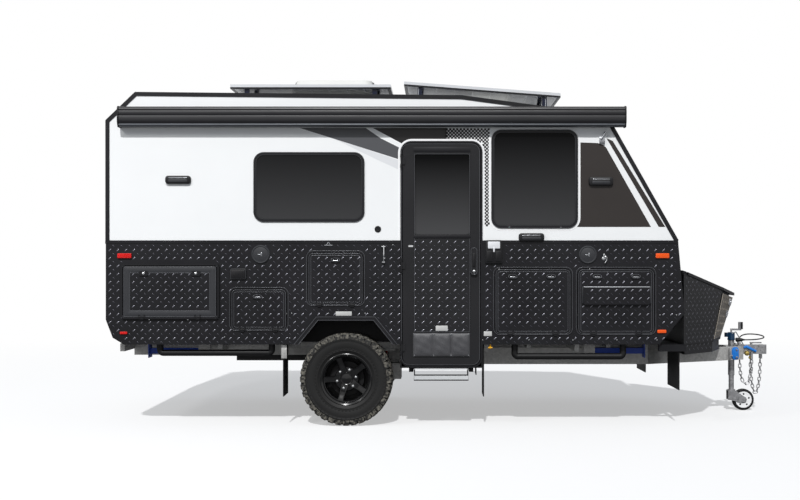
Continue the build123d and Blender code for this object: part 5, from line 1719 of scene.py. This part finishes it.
for index, (shares, level) in enumerate((((0.490, 0.240), cladding_level), ((0.490, 0.580), half_width))):
    x, z = spot_of(shares)
    box_low, box_high = Vector((x, 0, z)) - half_vent, Vector((x, 0, z)) + half_vent
    form = Form()
    bead(form, FAR, box_low, box_high, 0.0, 0.02, 0.024, level, 0.012)
    for slat in range(slats):
        z_low = box_low.z + 0.025 + slat * step
        loops = []
        for x_end in (box_low.x + 0.02, box_high.x - 0.02):
            rows = ((level, z_low + step), (level + 0.014, z_low + 0.004), (level, z_low))
            loops.append([(x_end, y, z_end) for y, z_end in rows])
        form.capped(loops)
    form.make(f"fridge_vent_{index}", *moulded)
service_spot = spot_of((0.600, 0.230))
form = raised_pad(Form(), FAR, service_spot, (0.340, 0.340), 0.020, cladding_level, 0.014)
raised_pad(form, FAR, service_spot, (0.290, 0.290), 0.014, cladding_level + 0.013, 0.014)
form.make("service_hatch", *moulded)
service_lock = (service_spot[0], service_spot[1] - 0.115)
lock_profile = [(0, 0), (0.014, 0), (0.014, 0.005), (0.010, 0.008), (0, 0.008)]
form = turned(Form(), FAR, service_lock, lock_profile, cladding_level + 0.026)
form.make("service_hatch_lock", *steel_fitting)

# Lamps
lamp_rows = (
    ("rear_side_lamp", (NEAR, FAR), (0.0325, 0.352), (0.125, 0.045), 0.018, red_lens),
    ("rear_low_lamp", (NEAR,), (0.031, 0.046), (0.068, 0.026), 0.014, red_lens),
    ("fore_side_lamp", (NEAR, FAR), (0.9615, 0.352), (0.120, 0.045), 0.018, amber_lens),
    ("fore_low_lamp", (NEAR,), (0.9605, 0.052), (0.082, 0.032), 0.014, amber_lens),
)
lamp_base = 0.005
lamp_face = cladding_level + lamp_base
for name, sides, shares, size, rise, material in lamp_rows:
    for side in sides:
        form = raised_pad(Form(), side, spot_of(shares), size, 0.008, cladding_level, lamp_base, 0.001)
        base = form.make(f"{name}_base_{SIDE_NAMES[side]}", *moulded)
        if name == "rear_side_lamp" and side == NEAR:
            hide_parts("side_lamps")
        inner = (size[0] - 0.004, size[1] - 0.004)
        form = raised_pad(Form(), side, spot_of(shares), inner, 0.007, lamp_face, rise - lamp_base, 0.004)
        form.make(f"{name}_lens_{SIDE_NAMES[side]}", material, "trailer", "lamp")
tail_x = low("rear_wall").x
tail_low, tail_height, tail_width = up(0.20), 0.330, 0.160
tail_parts = (
    ("tail_red", 0.0, 0.42, red_lens),
    ("tail_amber", 0.42, 0.72, amber_lens),
    ("tail_clear", 0.72, 1.0, clear_lens),
)
tail_turn = Matrix.Rotation(math.radians(90), 4, "Z")
for side in (NEAR, FAR):
    placing = Matrix.Translation((tail_x, side * 0.9, 0)) @ tail_turn
    form = Form(placing)
    raised_pad(form, FAR, (0, tail_low + tail_height / 2), (tail_width, tail_height), 0.02, 0, 0.006)
    form.make("tail_base_" + SIDE_NAMES[side], *moulded)
    for name, start, end, material in tail_parts:
        centre_z = tail_low + tail_height * (start + end) / 2
        size = (tail_width - 0.02, tail_height * (end - start) - 0.008)
        form = raised_pad(Form(placing), FAR, (0, centre_z), size, 0.014, 0.006, 0.011, 0.004)
        form.make(f"{name}_{SIDE_NAMES[side]}", material, "trailer", "lamp")

# Rear and front walls: tread plate low down, blank plate, marker lamps
rear_x = low("rear_wall").x
rear_plate_rise = 0.003
rear_low, rear_high = up(0.100), up(belt_share)
form = Form().block((rear_x - rear_plate_rise, -half_width, rear_low), (rear_x, half_width, rear_high))
form.make("rear_tread_plate", *tread_sheet, 0.001)
belt_low = (rear_x - 0.008, -half_width, rear_high - 0.004)
form = Form().block(belt_low, (rear_x, half_width, up(belt_top_share)))
form.make("rear_belt", trim_black, "trailer", "black_trim", 0.002)
edge_gap = 0.02


def on_rear_plate(point):
    across = abs(point.y) < half_width - edge_gap
    return across and rear_low + edge_gap < point.z < rear_high - edge_gap


rear_spots = [Vector((rear_x, -half_width, rear_low)), Vector((rear_x, half_width, rear_high))]
tread("rear_tread", "rear_wall", Vector((-1, 0, 0)), rear_spots, on_rear_plate, lift=rear_plate_rise)
rear_turn = Matrix.Translation((rear_x, 0, 0)) @ Matrix.Rotation(math.radians(90), 4, "Z")
plate_z = up(0.205)
form = Form(rear_turn)
raised_pad(form, FAR, (0, plate_z), (0.400, 0.150), 0.012, 0, 0.008)
raised_pad(form, FAR, (0, plate_z + 0.094), (0.110, 0.036), 0.010, 0, 0.016)
form.make("plate_holder", *moulded)
form = Form(rear_turn)
raised_pad(form, FAR, (0, plate_z), (0.372, 0.134), 0.010, 0.008, 0.002, 0.001)
form.make("blank_plate", *white_film)
form = Form(rear_turn)
for across in (-0.95, -0.16, 0.0, 0.16, 0.95):
    raised_pad(form, FAR, (across, up(0.845)), (0.090, 0.026), 0.008, 0, 0.014)
form.make("rear_marker_lamps", red_lens, "trailer", "lamp")
form = Form(rear_turn)
for across in (-0.99, 0.99):
    form.rod((across, 0.010, up(0.46)), (across, 0.010, up(0.60)), 0.0065, 20)
    for share in (0.465, 0.595):
        raised_pad(form, FAR, (across, up(share)), (0.030, 0.044), 0.008, 0, 0.010)
form.make("rear_grab_handles", *moulded)
skirt = [(along(x_share), up(z_share)) for x_share, z_share in ((0.0, 0.100), (0.012, 0.028), (0.032, 0.0))]
skirt += [(x - rear_plate_rise, z - rear_plate_rise) for x, z in reversed(skirt)]
form = Form().prism(skirt, -half_width, half_width)
form.make("rear_skirt_plate", *tread_sheet)
front_skin = 0.003
front_outline = [
    (along(1.0), up(0.122)),
    (along(1.0) + front_skin, up(0.122)),
    (along(0.989) + front_skin, up(belt_share)),
    (along(0.989), up(belt_share)),
]
form = Form().prism(front_outline, -half_width, half_width)
form.make("front_lower_plate", *tread_sheet)


# Rolled edges of the wheel arch flanges, lighter grey as painted highlights
def arch_corner(offset):
    """Half width and height of the arch's corners, foot first, moved outwards by offset."""
    foot_half, foot_z, top_half, top_z = 0.405, body_low.z, 0.238, body_low.z + 0.206
    run, rise = foot_half - top_half, top_z - foot_z
    slant = math.hypot(run, rise)
    at_top = (top_z + offset - foot_z - offset * run / slant) / rise
    top = foot_half + offset * rise / slant - run * at_top
    foot = foot_half + offset * rise / slant + run * (offset * run / slant) / rise
    return (foot, foot_z), (top, top_z + offset)


for side in (NEAR, FAR):
    form = Form()
    for offset, width in ((0.001, 0.004), (0.029, 0.004)):
        (foot, foot_z), (top, top_z) = arch_corner(offset)
        (outer_foot, _), (outer_top, outer_z) = arch_corner(offset + width)
        outline = [(-foot, foot_z), (-top, top_z), (top, top_z), (foot, foot_z)]
        outline += [(outer_foot, foot_z), (outer_top, outer_z), (-outer_top, outer_z), (-outer_foot, foot_z)]
        points = [(axle.x + x, z) for x, z in outline]
        form.prism(points, *sheet_y(side, 1.137, 0.002))
    form.make("arch_rolled_edges_" + SIDE_NAMES[side], bead_black, "trailer", "black_trim")

# Pouch on the door: three crowned panels between seams, and studs
pouch_low, pouch_high = low("door_pouch"), high("door_pouch")
seams = (pouch_low.x, -0.183, -0.033, pouch_high.x)
pouch_back = -leaf_level
rim_depth, crown_depth = 0.007, 0.017
columns, rows_high = 60, 26


def crown(share):
    """0 at both ends of a panel and 1 in its middle, with full shoulders."""
    return (1 - abs(2 * share - 1) ** 3.5) ** 0.6


def pouch_depth(x, rise):
    panel = max(0, sum(x > seam for seam in seams[1:-1]))
    across = (x - seams[panel]) / (seams[panel + 1] - seams[panel])
    across = min(1.0, max(0.0, across))
    folds = 0.0014 * math.sin(across * 9 + rise * 5) * math.sin(rise * 14 + panel)
    return rim_depth + crown(across) * crown(rise) * (crown_depth + folds)


form = Form()
front, back = [], []
for row in range(rows_high + 1):
    rise = row / rows_high
    z = pouch_low.z + rise * (pouch_high.z - pouch_low.z)
    pouch_run = pouch_high.x - pouch_low.x
    stations = [pouch_low.x + pouch_run * column / columns for column in range(columns + 1)]
    front.append([form.vertex(x, pouch_back - pouch_depth(x, rise), z) for x in stations])
    back.append([form.vertex(x, pouch_back - 0.0006, z) for x in stations])
for row in range(rows_high):
    for column in range(columns):
        for grid, flip in ((front, False), (back, True)):
            under, over = grid[row], grid[row + 1]
            corners = [under[column], under[column + 1], over[column + 1], over[column]]
            form.bm.faces.new(corners[::-1] if flip else corners)


def border_of(grid):
    """The grid's outermost vertices, once round."""
    up_one_side = [row[-1] for row in grid[1:]]
    down_the_other = [row[0] for row in grid[-2:0:-1]]
    return grid[0] + up_one_side + grid[-1][-2::-1] + down_the_other


edge_front, edge_back = border_of(front), border_of(back)
for index in range(len(edge_front)):
    form.bm.faces.new((edge_front[index - 1], edge_front[index], edge_back[index], edge_back[index - 1]))
pouch = form.make("door_pouch_pad", vinyl, "door", "vinyl", angle=60)
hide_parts("door_pouch")
stud_inset, stud_size = 0.012, (0.013, 0.013, 0.01)
spots = []
for x in (pouch_low.x + stud_inset, seams[1], seams[2], pouch_high.x - stud_inset):
    for z in (pouch_low.z + stud_inset, pouch_high.z - stud_inset):
        spots.append(Vector((x, pouch_back - rim_depth, z)))
scatter_alike("pouch_studs", dome_head, spots, out_of_wall[NEAR], stud_size, latch_steel, "door", "vinyl")

# Nose: toolbox corners, jockey details, coupling details
corner_rows, corner_columns = 12, 11
for side in (NEAR, FAR):
    corners = [
        nose_point(0.333, 0.662, side, 0.716),
        nose_point(0.474, 0.355, side, 0.716),
        nose_point(0.590, 0.357, side, 1.100),
        nose_point(0.450, 0.542, side, 1.146),
    ]
    heart = sum(corners, Vector()) / 4
    normal = (corners[1] - corners[0]).cross(corners[3] - corners[0]).normalized()
    if normal.x < 0:
        normal = -normal
    corners = [heart + (corner - heart) * 0.94 for corner in corners]
    under, over = normal * -0.001, normal * corner_lift
    loops = []
    places = []
    for row in range(corner_rows + 1):
        left = corners[0].lerp(corners[3], row / corner_rows)
        right = corners[1].lerp(corners[2], row / corner_rows)
        loops.append([tuple(point) for point in (left + under, right + under, right + over, left + over)])
        for column in range(1, corner_columns):
            if 0 < row < corner_rows and (column + row) % 2 == 0:
                lean = Matrix.Rotation(math.radians(-45 if column % 2 else 45), 3, "Z")
                spot = left.lerp(right, column / corner_columns) + over
                places.append((spot, facing(normal) @ lean, lozenge_size))
    form = Form().capped(loops)
    form.make("toolbox_corner_" + SIDE_NAMES[side], bare_plate, "trailer", "tread_plate")
    name = "toolbox_corner_tread_" + SIDE_NAMES[side]
    scatter(name, lozenge, places, lozenge_bare, "trailer", "tread_plate")
    top_front, top_rear, foot_front = corners[2], corners[3], corners[1]
    down = (foot_front - top_front).normalized()
    across = (top_rear - top_front).normalized()
    for index, reach in enumerate((0.05, 0.16)):
        spot = top_front + down * reach + across * 0.045 + normal * corner_lift
        placing = Matrix.Translation(spot) @ Matrix((across, normal, down)).transposed().to_4x4()
        form = raised_pad(Form(placing), FAR, (0, 0), (0.036, 0.062), 0.008, 0, 0.010)
        raised_pad(form, FAR, (0, 0.012), (0.018, 0.050), 0.006, 0.010, 0.008)
        form.make(f"toolbox_latch_{SIDE_NAMES[side]}_{index}", *steel_fitting)
for side in (NEAR, FAR):
    start = Vector((cad_box[1][0], side * 0.26, 1.02))
    spot, face_normal, _, _ = solids.ray_cast(start, Vector((-1, 0, 0)))
    if face_normal.x < 0:
        face_normal = -face_normal
    across, rise, outwards = facing(face_normal).transposed()
    placing = Matrix.Translation(spot) @ Matrix((across, outwards, -rise)).transposed().to_4x4()
    form = raised_pad(Form(placing), FAR, (0, 0), (0.060, 0.084), 0.010, -0.001, 0.010)
    raised_pad(form, FAR, (0, 0), (0.022, 0.060), 0.008, 0.009, 0.008)
    form.make("toolbox_front_latch_" + SIDE_NAMES[side], *steel_fitting)
tube_x = middle("jockey_leg").x
rail_low, rail_high = low("drawbar_rails"), high("drawbar_rails")
rail_middle = (rail_low.z + rail_high.z) / 2
rail_start, rail_end = rail_high.x - 0.2, rail_high.x - 0.05


def rail_face(x):
    """How far out a drawbar rail's outer face stands at x."""
    hit, _, _, _ = solids.ray_cast(Vector((x, -half_width, rail_middle)), Vector((0, 1, 0)))
    return -hit.y


rail_slope = (rail_face(rail_start) - rail_face(rail_end)) / (rail_end - rail_start)
rail_turn = math.atan(rail_slope)


def on_rail(x, side):
    """A placing on a drawbar rail's outer face, its x along the rail."""
    y = side * (rail_face(rail_end) + (rail_end - x) * rail_slope)
    return Matrix.Translation((x, y, 0)) @ Matrix.Rotation(-side * rail_turn, 4, "Z")


clamp_bolt = [(0, 0), (0.010, 0), (0.010, 0.009), (0, 0.010)]
for side in (NEAR, FAR):
    form = Form(on_rail(tube_x + 0.002, side))
    raised_pad(form, side, (0, rail_middle), (0.076, 0.122), 0.034, 0, 0.014, 0.004)
    raised_pad(form, side, (0, rail_middle), (0.052, 0.098), 0.026, 0.014, 0.006, 0.002)
    form.make("jockey_clamp_" + SIDE_NAMES[side], blue_paint, "trailer", "zinc_steel")
    form = Form(on_rail(tube_x + 0.002, side))
    for drop in (-0.035, 0.035):
        turned(form, side, (0, rail_middle + drop), clamp_bolt, 0.020, 6)
    rod_y, rod_z = side * 0.012, rail_middle - 0.02
    form.rod((-0.075, rod_y, rod_z), (-0.045, rod_y, rod_z), 0.010, 16)
    y_low, y_high = sorted((0, side * 0.02))
    form.block((-0.080, y_low, rail_middle - 0.050), (-0.062, y_high, rail_middle + 0.052))
    form.make("jockey_clamp_bolts_" + SIDE_NAMES[side], zinc, "trailer", "zinc_steel", 0.001)
form = Form()
cap = [(0.0305, 0.0), (0.036, 0.0), (0.036, 0.012), (0.0335, 0.02), (0.0335, 0.07), (0.0305, 0.074)]
form.lathe(cap, (tube_x, 0, 0.672), (0, 0, 1), 36)
form.block((tube_x - 0.064, -0.010, 0.70), (tube_x - 0.030, 0.010, 0.742))
form.make("jockey_head_band", blue_dark, "trailer", "zinc_steel", 0.001)
form = Form()
grip_x = tube_x + 0.095
grip = [(0.0142, 0.0), (0.0175, 0.002), (0.0158, 0.02), (0.0172, 0.036)]
grip += [(0.0158, 0.052), (0.0172, 0.066), (0.0142, 0.068)]
form.lathe(grip, (grip_x, 0, 0.774), (0, 0, 1), 28)
form.make("crank_grip_sleeve", plastic_black, "trailer", "cable")
rod_bend = (2.700, -0.034, 0.751)
form = Form()
form.rod(rod_bend, (2.786, -0.050, 0.599), 0.005, 16)
form.rod((2.6645, -0.030, 0.735), rod_bend, 0.005, 16)
form.make("brake_rod", *steel_fitting)
form = Form()
form.rod((2.786, -0.057, 0.614), (2.886, -0.057, 0.566), 0.0145, 24, 0.9)
form.rod((2.770, -0.054, 0.600), (2.800, -0.058, 0.612), 0.012, 20)
form.make("hitch_lever", blue_paint, "trailer", "zinc_steel", 0.001)
lug_face = 0.046
knob = [(0.0, 0.0), (0.020, 0.0), (0.024, 0.006), (0.024, 0.016), (0.018, 0.026), (0.0, 0.030)]
small_knob = [(0.0, 0.0), (0.011, 0.0), (0.013, 0.006), (0.013, 0.014), (0.008, 0.020), (0.0, 0.021)]
form = turned(Form(), NEAR, (2.800, 0.548), knob, lug_face, 32)
turned(form, NEAR, (2.828, 0.506), small_knob, lug_face, 28)
form.make("shackle_pins", brass, "trailer", "zinc_steel")
base_plate_top = 0.627
bolt_size, bolt_turn = (0.019, 0.019, 0.013), facing((0, 0, 1), (1, 0, 0))
spots = [Vector((x, y, base_plate_top)) for x, y in ((2.720, -0.070), (2.746, -0.070), (2.720, 0.070))]
scatter_alike("coupling_nuts", hex_nut, spots, bolt_turn, bolt_size, zinc, "trailer", "zinc_steel")
wheel_spot = middle("jockey_wheel")
form = Form()
disc = [(0.030, 0.0), (0.075, 0.0), (0.0775, 0.0018), (0.072, 0.0030)]
disc += [(0.066, 0.0012), (0.040, 0.0012), (0.034, 0.0024), (0.030, 0.0024)]
disc_face = 0.0272
for side in (NEAR, FAR):
    profile = [(radius, disc_face + reach) for radius, reach in disc]
    form.lathe(on_side(profile, side), wheel_spot, (0, 1, 0), 48)
form.make("jockey_wheel_disc", film_white, "jockey_wheel", "rubber")
# Flat black discs where the disc's holes are: painted shade standing in for the holes.
places = []
for side in (NEAR, FAR):
    for index in range(5):
        spot = round_axle(wheel_spot, 72 * index + 18, 0.054, side * 0.0284)
        places.append((spot, out_of_wall[side], (0.018, 0.018, 0.001)))
scatter("jockey_wheel_holes", dome_head, places, plastic_black, "jockey_wheel", "rubber")

# Mudflap brackets, step treads and the roof
flap_low, flap_high = low("mudflaps"), high("mudflaps")
form = Form()
for side in (NEAR, FAR):
    y_low, y_high = sorted((side * (flap_high.y - 0.001), side * (flap_high.y + 0.006)))
    form.block((flap_low.x - 0.014, y_low, 0.585), (flap_low.x + 0.034, y_high, 0.702))
form.make("flap_brackets", galvanised, "trailer", "galvanised", 0.002)
bearer_low, bearer_high = 0.641, body_low.z - 0.002
for side in (NEAR, FAR):
    y_low, y_high = sorted((side * 0.733, side * 0.741))
    form = Form().block((along(0.03), y_low, bearer_low), (along(0.66), y_high, bearer_high))
    form.make("floor_bearer_" + SIDE_NAMES[side], galvanised, "trailer", "galvanised", 0.001)
step_low, step_high = low("step"), high("step")
form = Form()
bright_inset = 0.038
bright_from, bright_to = step_low.x + bright_inset, step_high.x - bright_inset
bright_rows = ((step_low.z + 0.010, step_low.z + 0.043), (step_high.z - 0.012, step_high.z - 0.005))
for z_low, z_high in bright_rows:
    form.block((bright_from, step_low.y - 0.0015, z_low), (bright_to, step_low.y + 0.002, z_high))
form.make("step_bright_edges", step_bright, "step", "chassis_black")
roof_top = body_high.z
panel_thick = 0.035
panel_rims = (("edge", trim_black, -0.001, 0.013), ("frame", panel_edge, 0.013, panel_thick + 0.002))
panel_rows = (("rear", 0.211, 0.491, 0.050, 0.050), ("fore", 0.515, 0.788, 0.076, -0.026))
for name, start, end, rise_start, rise_end in panel_rows:
    for side in (NEAR, FAR):
        x_low, x_high = along(start), along(end)
        z_start, z_end = roof_top + rise_start, roof_top + rise_end
        fall = (z_end - z_start) / (x_high - x_low)
        start_x, end_x = x_low - 0.002, x_high + 0.002
        strips = (
            (start_x, end_x, 1.012, 0.985),
            (start_x, end_x, 0.405, 0.378),
            (start_x, x_low + 0.025, 0.985, 0.405),
            (x_high - 0.025, end_x, 0.985, 0.405),
        )
        for part, material, rim_low, rim_high in panel_rims:
            form = Form()
            for x_from, x_to, y_from, y_to in strips:
                z_from = z_start + (x_from - x_low) * fall
                z_to = z_start + (x_to - x_low) * fall
                outline = [(x_from, z_from + rim_low), (x_to, z_to + rim_low), (x_to, z_to + rim_high)]
                outline.append((x_from, z_from + rim_high))
                form.prism(outline, *sorted((side * y_from, side * y_to)))
            form.make(f"panel_{part}_{name}_{SIDE_NAMES[side]}", material, "trailer", "black_trim")
upright = Matrix.Rotation(math.radians(90), 4, "X")
unit_top, unit_half = high("roof_units").z, 0.3144
unit_rear, unit_fore = along(0.29), along(0.467)
dome_size = ((unit_fore - unit_rear) * 0.86, unit_half * 1.7)
form = Form(upright)
raised_pad(form, FAR, ((unit_rear + unit_fore) / 2, 0), dome_size, 0.12, unit_top - 0.06, 0.0605, 0.03)
form.make("roof_unit_dome", dome_dark, "trailer", "roof_plastic")


# Floor, camera, world and lamps
ground = Surface("studio_floor", Specular_IOR_Level=0.0, Roughness=1.0)
x, y, _ = ground.axes()
distance = ((x * x) + (y * y)) ** 0.5
ground.set(Base_Color=tint("#f9f9f9"))
output = next(node for node in ground.tree.nodes if node.type == "OUTPUT_MATERIAL")
lit = Value(ground, ground.shader.outputs[0])
glow = ground.add("ShaderNodeEmission")
dim = ground.add("ShaderNodeBsdfDiffuse", {}, {"Color": tint("#8c8c8c")})
seen = ground.add("ShaderNodeMixShader", {}, {0: distance.ramp(4.0, 12.0) * 0.55 + 0.45, 1: lit, 2: glow})
by_camera = ground.add("ShaderNodeLightPath", output="Is Camera Ray")
ground.feed(output.inputs[0], ground.add("ShaderNodeMixShader", {}, {0: by_camera, 1: dim, 2: seen}))
floor_half = 90.0
form = Form()
form.bm.faces.new([form.vertex(x, y, 0) for x, y in ((-1, -1), (1, -1), (1, 1), (-1, 1))])
bmesh.ops.scale(form.bm, vec=(floor_half, floor_half, 1), verts=form.bm.verts)
floor = form.make("studio_ground", ground.material, None, None)

world = bpy.data.worlds.new("studio")
bpy.context.scene.world = world
world.use_nodes = True
world.node_tree.nodes.clear()
sky = Tree(world.node_tree)
camera_ray = sky.add("ShaderNodeLightPath", output="Is Camera Ray")
rays = camera_ray.socket.node.outputs
mirror_ray = sky.math("MAXIMUM", Value(sky, rays["Is Glossy Ray"]), Value(sky, rays["Is Transmission Ray"]))
shows = sky.math("MAXIMUM", camera_ray, mirror_ray)
white_sky = sky.add("ShaderNodeBackground", {}, {"Color": (1, 1, 1, 1), "Strength": 1.0})
soft_sky = sky.add("ShaderNodeBackground", {}, {"Color": tint("#dfe8f4"), "Strength": 0.34})
both = sky.add("ShaderNodeMixShader", {}, {0: shows, 1: soft_sky, 2: white_sky})
sky_out = world.node_tree.nodes.new("ShaderNodeOutputWorld")
sky.feed(sky_out.inputs["Surface"], both)

sun_data = bpy.data.lights.new("sun", "SUN")
sun_data.energy = 3.0
sun_data.angle = math.radians(1.5)
sun = link("sun", sun_data)
sun.rotation_euler = Vector((0.08, 1.0, -1.0)).to_track_quat("-Z", "Y").to_euler()
glint_data = bpy.data.lights.new("glint_lamp", "AREA")
glint_data.energy = 160
glint_data.size = 1.6
glint = link("glint_lamp", glint_data)
glint.location = (-6.5, -6.5, 6.5)
glint.rotation_euler = (Vector((0, 0, 1)) - glint.location).to_track_quat("-Z", "Y").to_euler()

camera_data = bpy.data.cameras.new("camera")
camera_data.lens = 51.8
camera_data.sensor_width = 36.0
camera_data.shift_x = -0.046
camera_data.shift_y = 0.015
camera_data.clip_end = 300
camera = link("camera", camera_data)
camera.location = (axle.x + 0.783, -(half_width + 9.9), 1.417)
camera.rotation_euler = (math.radians(90), 0, 0)
bpy.context.scene.camera = camera
bpy.context.scene.view_settings.view_transform = "Standard"

for obj in templates:
    bpy.data.objects.remove(obj)
